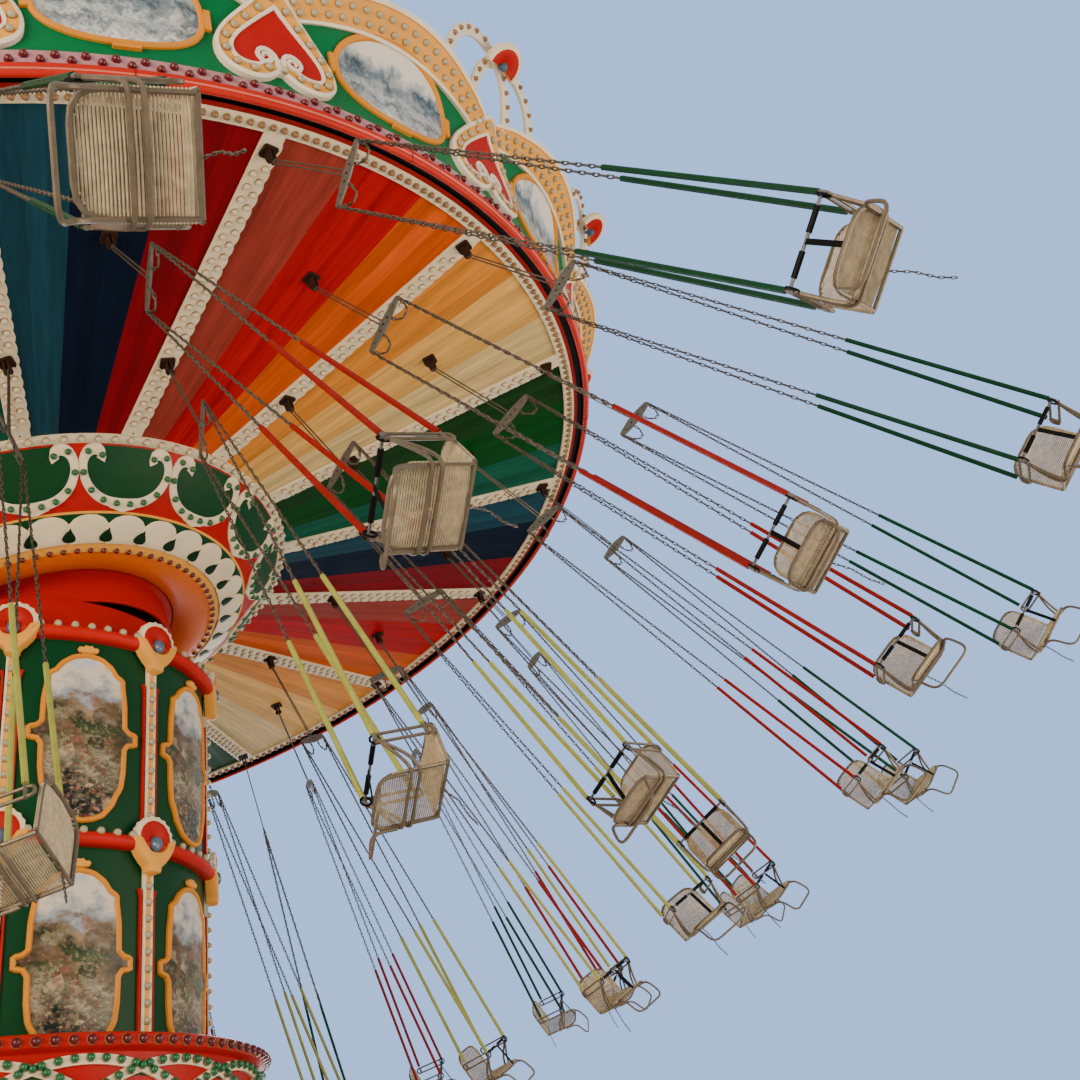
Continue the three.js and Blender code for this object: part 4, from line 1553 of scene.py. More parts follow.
@dataclass(frozen=True)
class Collar:
    """Bowl round the head: cove, petal band, half ovals and lamp rim."""

    surface: tuple[tuple[float, float], ...] = (
        (1.09, -0.70), (1.14, -0.738), (1.2, -0.770), (1.26, -0.788), (1.33, -0.794), (1.40, -0.784),
        (1.44, -0.771), (1.47, -0.760), (1.53, -0.741), (1.60, -0.716), (1.70, -0.675), (1.80, -0.625),
        (1.82, -0.614), (1.90, -0.566), (2.0, -0.491), (2.1, -0.400), (2.18, -0.312), (2.262, -0.2218))
    rim_z: float = -0.1738
    oval_radius: float = 2.13
    cove_radius: float = 1.458
    petals: int = 32
    cove_lamps: int = 80
    rim_lamps: int = 102
    oval_lamps: int = 12

    def skin(self, reach: float) -> Skin:
        """Returns the bowl's skin, its v being the radius."""
        return Skin(tuple((r, r, z) for r, z in self.surface), reach)

    def bowl(self) -> None:
        """Builds the bowl in its painted bands."""
        paints = [Paint.ORANGE] * 6 + [Paint.YELLOW, Paint.YELLOW] + [Paint.GREEN] * 3 + [Paint.YELLOW]
        paints += [Paint.RED] * 5 + [Paint.CREAM] * 3 + [Paint.STEEL]
        profile = list(self.surface) + [(2.30, -0.2225), (2.335, -0.2158), (2.335, self.rim_z),
                                        (2.25, self.rim_z), (2.06, -0.37), (1.79, -0.58), (1.12, -0.64)]
        cast(turned(profile, 128, paints), "collar_bowl", [ENAMEL], "canopy", ["collar_drum"],
             CANOPY)

    def petal_band(self) -> Mould:
        """Returns the overlapping white petals with dark drops between them."""
        skin = self.skin(1.66)
        half = [(0.0, 1.795), (0.06, 1.79), (0.12, 1.765), (0.165, 1.715), (0.178, 1.66), (0.17, 1.60),
                (0.16, 1.533), (0.0, 1.533)]
        rings = [(0.0, 1.0, 0.006), (0.008, 1.0, 0.010), (0.0, 0.5, 0.010)]
        petal = plaque(along(both_sides(half), 40), rings, [(Paint.CREAM, 0)] * 3, -0.004, (0.0, 1.66))
        # Each petal leans sideways, so that it laps over the next.
        petal = petal.bent(lambda p: p + np.outer(0.012 * (0.5 - p[:, 0] / 0.36), UPRIGHT))
        half = [(0.0, 0.075), (0.014, 0.042), (0.036, 0.008), (0.05, -0.024), (0.042, -0.05), (0.025, -0.06),
                (0.0, -0.063)]
        drop = plaque(along(both_sides(half), 24), [(0.0, 1.0, 0.022), (0.006, 1.0, 0.024)],
                      [(Paint.GREEN, 0)] * 2, 0.0)
        drop = drop.bent(lambda p: np.column_stack([p[:, 0] * 1.2 + p[:, 1] * 0.12 + 0.163,
                                                    p[:, 1] - p[:, 0] * 0.1 + 1.616, p[:, 2]]))
        drop = drop.painted(mixed(Paint.GREEN, Paint.BLACK, 0.6))
        turns = sectors(0.25, self.petals)
        return fused([skin.around(petal, turns), skin.around(drop, turns)])

    def oval_line(self) -> np.ndarray:
        """Returns the middle line of one half oval with its curled ends, from left to right."""
        half = np.array([(0.235, 2.165), (0.222, 2.19), (0.235, 2.22), (0.275, 2.235), (0.33, 2.225),
                         (0.372, 2.185), (0.388, 2.13), (0.375, 2.06), (0.33, 1.99), (0.25, 1.93),
                         (0.15, 1.895), (0.0, 1.885)])
        return eased(np.vstack([half * [-1.0, 1.0], half[::-1][1:]]), 0.05, 3)

    def ovals(self) -> Mould:
        """Returns the sixteen half ovals: green ground, cream frame and the cartouche below."""
        skin = self.skin(self.oval_radius)
        half = [(0.0, 2.25), (0.2, 2.25), (0.33, 2.235), (0.372, 2.185), (0.388, 2.13), (0.375, 2.06),
                (0.33, 1.99), (0.25, 1.93), (0.15, 1.895), (0.0, 1.885)]
        rings = [(0.0, 1.0, 0.004)] + [(0.0, scale, 0.006) for scale in (0.75, 0.5, 0.25)]
        ground = plaque(along(both_sides(half), 48), rings, [(Paint.GREEN, 0)] * 4, -0.01, (0.0, 2.08))
        path = along(self.oval_line(), 61, closed=False)
        frame = ribbon(path, 0.058, 0.02, Paint.CREAM, 0.016, crown=0.006)
        edge = ribbon(path, 0.072, 0.012, Paint.WHITE, 0.008)
        half = [(0.0, 1.873), (0.07, 1.872), (0.145, 1.862), (0.12, 1.845), (0.09, 1.84), (0.06, 1.832),
                (0.03, 1.822), (0.0, 1.815)]
        below = plaque(along(both_sides(half), 28), [(0.0, 1.0, 0.010), (0.006, 1.0, 0.02)],
                       [(Paint.CREAM, 0)] * 2, 0.0, (0.0, 1.85))
        return skin.around(fused([ground, frame, edge, below]), sectors())

    def build(self) -> None:
        """Builds and dresses the collar."""
        self.bowl()
        cast(fused([self.petal_band(), self.ovals()]), "collar_fretwork", [FRETWORK], "canopy",
             place=CANOPY)
        cove = self.skin(self.cove_radius).seats(np.array([[0.0, self.cove_radius, 0.0]]),
                                                 sectors(0.0, self.cove_lamps, 0.0), 0.027)
        seats = along(self.oval_line()[3:-3], self.oval_lamps, closed=False)
        seats = np.column_stack([seats, np.full(len(seats), 0.018)])
        green = self.skin(self.oval_radius).seats(seats, sectors(), 0.029)
        out = np.array([outwards(turn) for turn in sectors(0.0, self.rim_lamps, 0.0)])
        rim = standing(out * 2.315 - UPRIGHT * 0.219, out * 0.45 - UPRIGHT * 0.9, 0.031)
        lamps = fused([lamp_cap(Paint.BULB_RED).copies(cove), lamp_cap(Paint.BULB_GREEN).copies(green),
                       lamp_cap(Paint.BULB_CREAM).copies(rim)])
        cast(lamps, "collar_lamps", [LAMP_CAP], "canopy", place=CANOPY, smooth=60.0)


@dataclass(frozen=True)
class Ceiling:
    """Painted ceiling: narrow boards, four to a colour and three colours to a sector, each board a lighter or
    darker copy of its colour as painted light and shade.
    """

    inner: float = 2.30
    outer: float = 5.60
    boards: int = 4
    step: float = 0.0007
    # How far the streaks move on from sector to sector, so that none repeats.
    drift: float = 1.571
    # Brightness of the boards of one colour, in turn: painted light and shade, as on pleated boards that
    # catch the light unevenly.
    painted_light_tones: tuple[float, ...] = (1.0, 0.86, 1.05, 0.92)
    colours: tuple[tuple[Paint, ...], ...] = (
        (Paint.TEAL, Paint.NAVY, Paint.CRIMSON), (Paint.BRICK, Paint.SCARLET, Paint.TANGERINE),
        (Paint.APRICOT, Paint.STRAW, Paint.SAND), (Paint.BOTTLE, Paint.EMERALD, Paint.SEA))

    def plank(self, low: float, high: float) -> Mould:
        """Models one ceiling board in the ceiling's flat frame.

        Args:
            low: Its first edge, as a turn from its ray.
            high: Its last edge.

        Returns:
            The board, with its faces outwards.
        """
        clear_selection()
        bpy.ops.mesh.primitive_cylinder_add(vertices=3, radius=1.0, depth=2.0, location=(0.0, 0.0, 0.0))
        piece = bpy.context.object
        with editing(piece) as mesh:
            for edge in mesh.edges:
                edge.select_set(abs(edge.verts[0].co.z - edge.verts[1].co.z) > 1.0)
            bpy.ops.mesh.subdivide(number_cuts=5)
        blank = Mould.lift(piece)
        corner = np.mod(np.round(np.arctan2(-blank.points[:, 0], blank.points[:, 1]) / TAU * 3),
                        3).astype(int)
        turn = np.array([low, high, low])[corner]
        rise = np.array([0.001, 0.001, 0.001 + self.step])[corner]
        radius = self.inner + (self.outer - self.inner) * (blank.points[:, 2] + 1.0) / 2.0
        plank = blank.with_points(np.column_stack([turn * CEILING_SKIN.reach, radius, rise]))
        first, second, third = plank.points[plank.corners[:3]]
        inwards = np.cross(second - first, third - first) @ (first - plank.points.mean(axis=0)) < 0
        return plank.flipped() if inwards else plank

    def build(self) -> None:
        """Builds and dresses the ceiling."""
        parts = [turned([(1.14, -0.1735), (2.30, -0.1735), (5.60, 0.025), (5.60, 0.06), (2.30, -0.1385),
                         (1.18, -0.1385), (1.18, 0.49), (0.0, 0.49), (0.0, 0.45), (1.14, 0.45)], 96,
                         [Paint.DEEP_RED])]
        count = 3 * self.boards
        wide = RAY_STEP / count
        for stripe in range(count):
            plank = self.plank(stripe * wide, (stripe + 1) * wide)
            for k, azimuth in enumerate(sectors()):
                paint = self.colours[k % len(self.colours)][stripe // self.boards]
                # Each board's colour is made lighter or darker in turn, as painted light and shade.
                painted_light_tone = self.painted_light_tones[(stripe + k) % len(self.painted_light_tones)]
                dyed = plank.painted(np.array(to_linear(paint.value)) * painted_light_tone)
                streaked = dyed.mapped(lambda p, k=k: p[:, :2] + [k * self.drift, 0.0])
                parts.append(CEILING_SKIN.around(streaked, [azimuth]))
        cast(fused(parts), "ceiling_boards", [CEILING_ENAMEL], "canopy", ["canopy_ceiling"],
             CANOPY, smooth=20.0)


@dataclass(frozen=True)
class Rays:
    """Sixteen cream ray boards with double lamp rows, the outer lamp band and the forged chair hooks."""

    half: float = 0.09
    inner: float = 2.342
    outer: float = 5.494
    thickness: float = 0.0247
    pitch: float = 0.12
    scallop: float = 0.014
    band_lamps: int = 24
    # Lamps nearer to a hook than this are left out.
    hook_room: float = 0.10

    def ray_board(self) -> Mould:
        """Returns one ray board with its scalloped edge, in the ray's own frame."""
        low, high = self.inner / RAY_COSINE, self.outer / RAY_COSINE
        edge = [(self.half - 0.004, low)]
        y = low + 0.1
        while y + self.pitch < high:
            for t in np.linspace(0.0, 1.0, 5)[:-1]:
                edge.append((self.half - 0.006 + self.scallop * math.sin(t * math.pi), y + t * self.pitch))
            y += self.pitch
        edge += [(self.half - 0.006, y), (self.half - 0.006, high)]
        return board([(-self.half, high), (-self.half, low)] + edge, self.thickness, Paint.CREAM, bevel=0.003)

    def hook(self) -> Mould:
        """Returns one hook: a base plate, two cheeks and a bolt, standing on the origin."""
        plate = board([(0.06, -0.05), (0.06, 0.05), (0.045, 0.062), (-0.045, 0.062), (-0.06, 0.05),
                       (-0.06, -0.05), (-0.045, -0.062), (0.045, -0.062)], 0.02, Paint.RUST, bevel=0.003)
        cheek = board([(-0.038, 0.0), (0.038, 0.0), (0.036, 0.095), (0.026, 0.125), (0.0, 0.137),
                       (-0.026, 0.125), (-0.036, 0.095)], 0.015, Paint.RUST, bevel=0.002)
        parts = [plate.moved(z=0.02)]
        for side in (0.0245, -0.0095):
            parts.append(cheek.bent(lambda p, s=side: np.column_stack([p[:, 0], -p[:, 2] - 0.015 + s,
                                                                       p[:, 1]])))
        for start, end, radius, paint in ((-0.034, 0.034, 0.009, Paint.STEEL),
                                          (-0.036, -0.026, 0.017, Paint.RUST),
                                          (0.026, 0.036, 0.017, Paint.RUST)):
            parts.append(rod([(0.0, start, HOOK_DROP), (0.0, end, HOOK_DROP)], radius, paint))
        for x, y in ((0.045, 0.045), (-0.045, 0.045), (0.045, -0.045), (-0.045, -0.045)):
            parts.append(rod([(x, y, 0.018), (x, y, 0.032)], 0.009, Paint.RUST))
        return fused(parts)

    def hooks(self) -> None:
        """Builds all forty-eight hooks at their chairs' pins."""
        hook = self.hook()
        places = []
        to_canopy = CANOPY.inverted()
        for row in ROWS:
            for chair in row.places():
                pin = np.array(to_canopy @ chair.translation)
                back = np.array(to_canopy.to_3x3() @ Vector(chair.col[1][:3]))
                place = framed(np.cross(UPRIGHT, back), back, pin + UPRIGHT * HOOK_DROP)
                place[:3, 2] = -UPRIGHT
                places.append(place)
        cast(hook.copies(np.array(places)), "chair_hooks", [FORGED], "canopy", place=CANOPY)

    def seats(self) -> np.ndarray:
        """Returns the lamp places of one ray in its own frame: two rows, with room for the hooks."""
        hooks = [row.radius for row in ROWS if row.shift == 0.0]
        spots = []
        for line, x in enumerate((-0.038, 0.038)):
            for y in np.arange(2.50 + line * self.pitch / 2, 5.44, self.pitch):
                if min(abs(y - radius) for radius in hooks) > self.hook_room:
                    spots.append((x, y / RAY_COSINE, 0.0))
        return np.array(spots)

    def build(self) -> None:
        """Builds and dresses rays, band, lamps and hooks."""
        ray = self.ray_board()
        # A black disc near the inner end stands for the hole in the board, painted shade where the hole would
        # be dark.
        painted_hole_shade = rod([(0.0, 2.385, -0.004), (0.0, 2.385, 0.0012)], 0.009, Paint.BLACK)
        places = np.array([ray_place(a) for a in sectors()])
        low, high = ray_z(5.49), ray_z(5.6)
        band = turned([(5.490, low + self.thickness), (5.490, low + 0.003), (5.493, low), (5.597, high),
                       (5.60, high + 0.003), (5.60, high + self.thickness)], 192, [Paint.CREAM])
        cast(fused([fused([ray, painted_hole_shade]).copies(places), band]), "ray_boards", [FRETWORK], "canopy",
             ["canopy_rays"], CANOPY)
        rays = spots_on(places, self.seats(), 0.028)
        flat = np.array([[(k + 0.5) / self.band_lamps * RAY_STEP * CEILING_SKIN.reach, 5.545, RAY_DEPTH]
                         for k in range(self.band_lamps)])
        rim = CEILING_SKIN.seats(flat, sectors(), 0.0275)
        # The amber sockets round the cream ray caps are painted shade.
        lamps = fused([lamp_cap(Paint.BULB_CREAM, Paint.AMBER).copies(rays),
                       lamp_cap(Paint.AMBER).copies(rim)])
        cast(lamps, "ray_lamps", [LAMP_CAP], "canopy", place=CANOPY, smooth=60.0)
        self.hooks()


@dataclass(frozen=True)
class Rim:
    """Gap painted black as shade, double coral roll with a painted highlight in its groove, and the pink lamp
    band at the canopy's edge.
    """

    lamps: int = 23

    def build(self) -> None:
        """Builds and dresses the rim."""
        lower = [(5.725 + 0.030 * math.cos(a), -0.006 + 0.031 * math.sin(a))
                 for a in np.linspace(-2.6, 0.1, 9)]
        upper = [(5.752 + 0.027 * math.cos(a), 0.024 + 0.027 * math.sin(a))
                 for a in np.linspace(-1.0, 2.1, 9)]
        wall = [(5.742, 0.058), (5.747, 0.12), (5.756, 0.195), (5.70, 0.195), (5.69, 0.062), (5.6003, 0.062),
                (5.6003, 0.008), (5.64, 0.010), (5.645, 0.030), (5.69, 0.022)]
        # The lighter coral between the two rolls is a painted highlight along the groove.
        paints = [Paint.CORAL] * 8 + [Paint.CORAL_LIGHT] + [Paint.CORAL] * 8
        # Black on the wall's inner face and round the gap, and dark red on the gap's inner floor, are painted
        # shade, so that the gap reads dark.
        paints += [Paint.CREAM] + [Paint.PINK] * 2 + [Paint.DEEP_RED] + [Paint.BLACK] * 3
        paints += [Paint.DEEP_RED] + [Paint.BLACK] * 2
        parts = [turned(lower + upper + wall, 192, paints)]
        for azimuth in sectors(0.5):
            out = outwards(azimuth)
            path = [out * (5.725 + 0.0315 * math.cos(a)) + UPRIGHT * (-0.006 + 0.0325 * math.sin(a))
                    for a in np.linspace(-2.5, 0.0, 7)]
            path += [out * (5.753 + 0.0275 * math.cos(a)) + UPRIGHT * (0.024 + 0.0275 * math.sin(a))
                     for a in np.linspace(-0.6, 1.9, 6)]
            parts.append(rod(path, 0.004, Paint.DEEP_RED))
        cast(fused(parts), "rim_roll", [ENAMEL], "canopy", ["rim_ring"], CANOPY)
        band = Skin(((0.05, 5.742, 0.05), (0.12, 5.747, 0.12), (0.195, 5.756, 0.195)), 5.75)
        wide = RAY_STEP * band.reach / self.lamps
        flat = np.array([[(k + 0.5) * wide, 0.102 if k % 2 else 0.152, 0.0] for k in range(self.lamps)])
        cast(lamp_cap(Paint.BULB_RED, Paint.BULB_RED).copies(band.seats(flat, sectors(), 0.030)), "rim_lamps",
             [LAMP_CAP], "canopy", place=CANOPY, smooth=60.0)


@dataclass(frozen=True)
class Crown:
    """Flared crown: green boards under arched lamp borders, oval pictures, spades and shell crests."""

    foot: float = 0.1953
    cusp: float = 0.960
    rise: float = 0.200
    reach: float = 5.9
    border: float = 0.185
    border_lamps: int = 36
    spade_half: tuple[tuple[float, float], ...] = (
        (0.0, 1.04), (0.13, 0.95), (0.27, 0.83), (0.40, 0.70), (0.49, 0.56), (0.51, 0.42), (0.47, 0.30),
        (0.37, 0.225), (0.24, 0.205), (0.12, 0.235), (0.04, 0.30), (0.0, 0.34))
    arc: tuple[tuple[float, float], ...] = (
        (-0.24, 0.10), (-0.23, 0.38), (-0.11, 0.63), (0.13, 0.765), (0.40, 0.755), (0.60, 0.60), (0.69, 0.38),
        (0.71, 0.16))

    def flare(self, rise: float) -> float:
        """Returns the crown's radius at a height above its foot."""
        return 5.742 + 0.14 * rise + 0.5 * rise**4

    def skin(self) -> Skin:
        """Returns the crown's flared skin, its v being the height."""
        return Skin(tuple((z, self.flare(z - 0.195), z) for z in np.linspace(0.19, 1.25, 14)), self.reach)

    def top(self, share: np.ndarray) -> np.ndarray:
        """Returns the height of the arched edge across a sector."""
        return self.cusp + self.rise * np.sin(math.pi * np.clip(share, 0.0, 1.0)) ** 0.7

    def panel(self) -> Mould:
        """Returns the green board of one sector."""
        wide = RAY_STEP * self.reach

        def rule(p: np.ndarray) -> np.ndarray:
            """Returns flat places for grid points."""
            high = self.top(p[:, 0]) - 0.05
            return np.column_stack([p[:, 0] * wide, self.foot + (high - self.foot) * p[:, 1],
                                    np.where(p[:, 2] > -0.5, 0.0, -0.03)])

        blank = slab(24, 10, Paint.CROWN_GREEN)
        return blank.painted(Paint.PUTTY, blank.centres()[:, 2] < -0.9).bent(rule)

    def border_strip(self) -> Mould:
        """Returns the arched yellow border with its white lips."""
        wide = RAY_STEP * self.reach
        drops = self.border * np.array([1.0, 0.89, 0.86, 0.14, 0.11, 0.0])
        lips = np.array([0.040, 0.040, 0.030, 0.030, 0.040, 0.040])
        blank = slab(40, 5, Paint.YELLOW)
        middle = blank.centres()
        edge = (np.abs(middle[:, 1] - 0.5) > 0.35) & (middle[:, 2] > -0.9)

        def rule(p: np.ndarray) -> np.ndarray:
            """Returns flat places for grid points."""
            share = (1.0 - np.cos(p[:, 0] * math.pi)) / 2.0
            row = np.round(p[:, 1] * 5).astype(int)
            return np.column_stack([share * wide, self.top(share) - drops[row],
                                    np.where(p[:, 2] > -0.5, lips[row], -0.02)])

        return blank.painted(Paint.WHITE, edge).painted(Paint.PUTTY, middle[:, 2] < -0.9).bent(rule)

    def border_seats(self) -> np.ndarray:
        """Returns the zigzag lamp places along one border."""
        wide = RAY_STEP * self.reach
        share = (np.arange(self.border_lamps) + 0.5) / self.border_lamps
        share = share * 0.94 + 0.03
        drop = np.where(np.arange(self.border_lamps) % 2, 0.062, 0.122)
        return np.column_stack([share * wide, self.top(share) - drop, np.full(len(share), 0.030)])

    def picture(self) -> Mould:
        """Returns the framed oval picture of one sector, with its four tabs."""
        rings = [(0.0, 1.0, 0.02), (0.012, 1.0, 0.034), (0.036, 1.0, 0.034), (0.048, 1.0, 0.016)]
        rings += [(0.05, scale, 0.014) for scale in (0.8, 0.6, 0.4, 0.2)]
        zones = [(Paint.FRAME_YELLOW, 0)] * 3 + [(Paint.CREAM, 1)] * 5
        parts = [plaque(oval(0.62, 0.36, 72, 0.12), rings, zones, 0.0)]
        tab = slab(2, 1, Paint.FRAME_YELLOW)
        for x, y, wide, high in ((0.0, 0.375, 0.2, 0.05), (0.0, -0.375, 0.2, 0.03), (0.635, 0.0, 0.05, 0.16),
                                 (-0.635, 0.0, 0.05, 0.16)):
            parts.append(tab.bent(lambda p, x=x, y=y, w=wide, h=high: np.column_stack(
                [x + (p[:, 0] - 0.5) * w, y + (p[:, 1] - 0.5) * h, np.where(p[:, 2] > -0.5, 0.03, 0.0)])))
        return fused(parts).moved(RAY_STEP * self.reach / 2, 0.665, 0.002)

    def spade(self) -> Mould:
        """Returns the spade on a ray: white edge, yellow lamp band, red heart and scrolls."""
        line = smooth_line(both_sides(list(self.spade_half)), 72)
        line = np.roll(line, -int(np.argmax(line[:, 1])), axis=0)
        rings = [(0.0, 1.0, 0.044), (0.026, 1.0, 0.060), (0.028, 1.0, 0.050), (0.108, 1.0, 0.050),
                 (0.110, 1.0, 0.062), (0.134, 1.0, 0.062), (0.138, 1.0, 0.050), (0.138, 0.5, 0.050)]
        paints = [Paint.WHITE] * 2 + [Paint.YELLOW] + [Paint.WHITE] * 3 + [Paint.RED] * 2
        parts = [plaque(line, rings, [(paint, 0) for paint in paints], 0.0, (0.0, 0.56))]
        for side in (-1.0, 1.0):
            turn = np.linspace(0.0, 1.6 * TAU, 22)
            reach = 0.085 * (1.0 - turn / (2.1 * TAU))
            curl = np.column_stack([side * (0.115 - reach * np.cos(turn)), 0.44 + reach * np.sin(turn)])
            curl = np.vstack([[side * 0.02, 0.33], curl])
            parts.append(ribbon(curl, np.linspace(0.04, 0.018, len(curl)), 0.02, Paint.WHITE, 0.066))
        return fused(parts)

    def spade_seats(self) -> np.ndarray:
        """Returns the lamp places round one spade."""
        line = inset_line(smooth_line(both_sides(list(self.spade_half)), 144), 0.068)
        ring = along(line[::6], 18)
        return np.column_stack([ring, np.full(len(ring), 0.050)])

    def leaning(self, lean: float, out: float, up: float) -> np.ndarray:
        """Gives frames that lean outwards, one a ray: X round the crown, Y up the face, Z out of it.

        Args:
            lean: Angle of Y against the upright, in degrees.
            out: Radius of the origins.
            up: Height of the origins.

        Returns:
            One 4 by 4 matrix per ray.
        """
        flat, steep = math.sin(math.radians(lean)), math.cos(math.radians(lean))
        return np.array([framed(sideways(a), outwards(a) * flat + UPRIGHT * steep,
                                outwards(a) * out + UPRIGHT * up)
                         for a in sectors()])

    def crest(self) -> Mould:
        """Returns the two white arcs of one crest, one lapped over the other."""
        line = along(eased(self.arc, 0.2, 5), 29, closed=False)
        arc = ribbon(line, 0.105, 0.03, Paint.WHITE, 0.04)
        return fused([arc, ribbon(line, 0.105, 0.03, Paint.WHITE, 0.072).mirrored(0)])

    def shells(self) -> Mould:
        """Returns the shells with their gems on all crests."""
        fan = shell(0.2, math.radians(104.0), 0.03, 16)
        gem = plaque(oval(0.036, 0.04, 20), [(0.0, 1.0, 0.03), (0.0, 0.7, 0.05), (0.0, 0.35, 0.056)],
                     [(Paint.GEM, 0)] * 3, -0.01)
        return fused([fan, gem]).moved(y=-0.035).copies(self.leaning(70.0, 6.44, 1.40))

    def build(self) -> None:
        """Builds and dresses the crown."""
        skin = self.skin()
        cast(skin.around(self.panel(), sectors()), "crown_boards", [FRETWORK], "canopy",
             ["crown_panels"], CANOPY)
        places = self.leaning(29.6, self.flare(0.765) - 0.04, 0.93)
        trim = fused([skin.around(self.border_strip(), sectors()), skin.around(self.spade(), sectors()),
                      self.crest().copies(places), self.shells()])
        cast(trim, "crown_fretwork", [FRETWORK], "canopy", ["crown_trim"], CANOPY)
        cast(skin.around(self.picture(), sectors(), drift=3.1), "crown_pictures", [FRETWORK, MOUNTAIN],
             "canopy", place=CANOPY)
        line = along(eased(self.arc, 0.2, 5), 15, closed=False)
        line = (line + np.column_stack([-np.gradient(line[:, 1]), np.gradient(line[:, 0])]) * 0.12)[1:-1]
        arc = np.vstack([line, line * [-1.0, 1.0]])
        crest = spots_on(places, np.column_stack([arc, np.repeat([0.040, 0.072], len(line))]), 0.023)
        edge = skin.seats(self.border_seats(), sectors(), 0.030)
        spade = skin.seats(self.spade_seats(), sectors(), 0.030)
        # The amber sockets round the frosted border and spade caps are painted shade.
        lamps = fused([lamp_cap(Paint.AMBER, Paint.AMBER).copies(crest),
                       lamp_cap(Paint.FROST, Paint.AMBER).copies(np.concatenate([edge, spade]))])
        cast(lamps, "crown_lamps", [LAMP_CAP], "canopy", place=CANOPY, smooth=60.0)


@dataclass(frozen=True)
class Roof:
    """Painted sheet roof on battens, with its cap."""

    profile: tuple[tuple[float, float], ...] = (
        (0.0, 0.4903), (0.15, 0.4903), (0.15, 1.12), (5.56, 0.08), (5.64, 0.08), (5.64, 0.11), (0.76, 1.16),
        (0.72, 1.30), (0.70, 1.42), (0.15, 1.56), (0.11, 1.80), (0.06, 1.835), (0.0, 1.84))

    def build(self) -> None:
        """Builds and dresses the roof."""
        paints = [Paint.STEEL] * 2 + [Paint.PUTTY] + [Paint.CREAM] * 2 + [Paint.PUTTY] + [Paint.RED] * 2
        parts = [turned(self.profile, 96, paints + [Paint.CREAM, Paint.YELLOW])]
        for out in (outwards(azimuth) for azimuth in sectors()):
            parts.append(rod([out * 0.78 + UPRIGHT * 1.158, out * 5.6 + UPRIGHT * 0.121], 0.02, Paint.BATTEN))
        cast(fused(parts), "roof_sheet", [ROOFING], "canopy", ["canopy_roof"], CANOPY)


@dataclass(frozen=True)
class Row:
    """One ring of chairs: its hooks' radius, the pull and trail of its chairs in flight, its sleeve colour.

    Shift is the share of a sector from ray to hook, and sits how far a hook's foot lies below the ceiling.
    """

    name: str
    radius: float
    pull: float
    trail: float
    shift: float
    sits: float
    sleeve: Paint
    lean: tuple[float, float, float] = (0.163, -0.106, -1.0)

    def places(self) -> list[Matrix]:
        """Returns the place of each chair in flight: X outwards, Y to the rider's back, Z up the chains."""
        made = []
        turn = CANOPY.to_3x3()
        for azimuth in sectors(self.shift):
            height = ray_z(self.radius) + RAY_DEPTH - self.sits - HOOK_DROP
            pin = CANOPY @ Vector((self.radius * math.cos(azimuth), self.radius * math.sin(azimuth), height))
            heading = azimuth + math.radians(self.trail)
            pull = Vector((self.pull * math.cos(heading), self.pull * math.sin(heading), 0.0))
            down = (turn @ pull + Vector(self.lean)).normalized()
            back = turn.col[2].cross(down).normalized()
            out = back.cross(-down)
            place = Matrix((out, back, -down)).transposed().to_4x4()
            made.append(Matrix.Translation(pin) @ place)
        return made


ROWS = (Row("outer", 5.35, 0.786, 10.6, 0.0, 0.025, Paint.SLEEVE_GREEN),
        Row("middle", 4.39, 0.605, 6.7, 0.5, 0.0, Paint.SLEEVE_RED),
        Row("inner", 3.22, 0.404, -7.6, 0.0, 0.025, Paint.LIME))


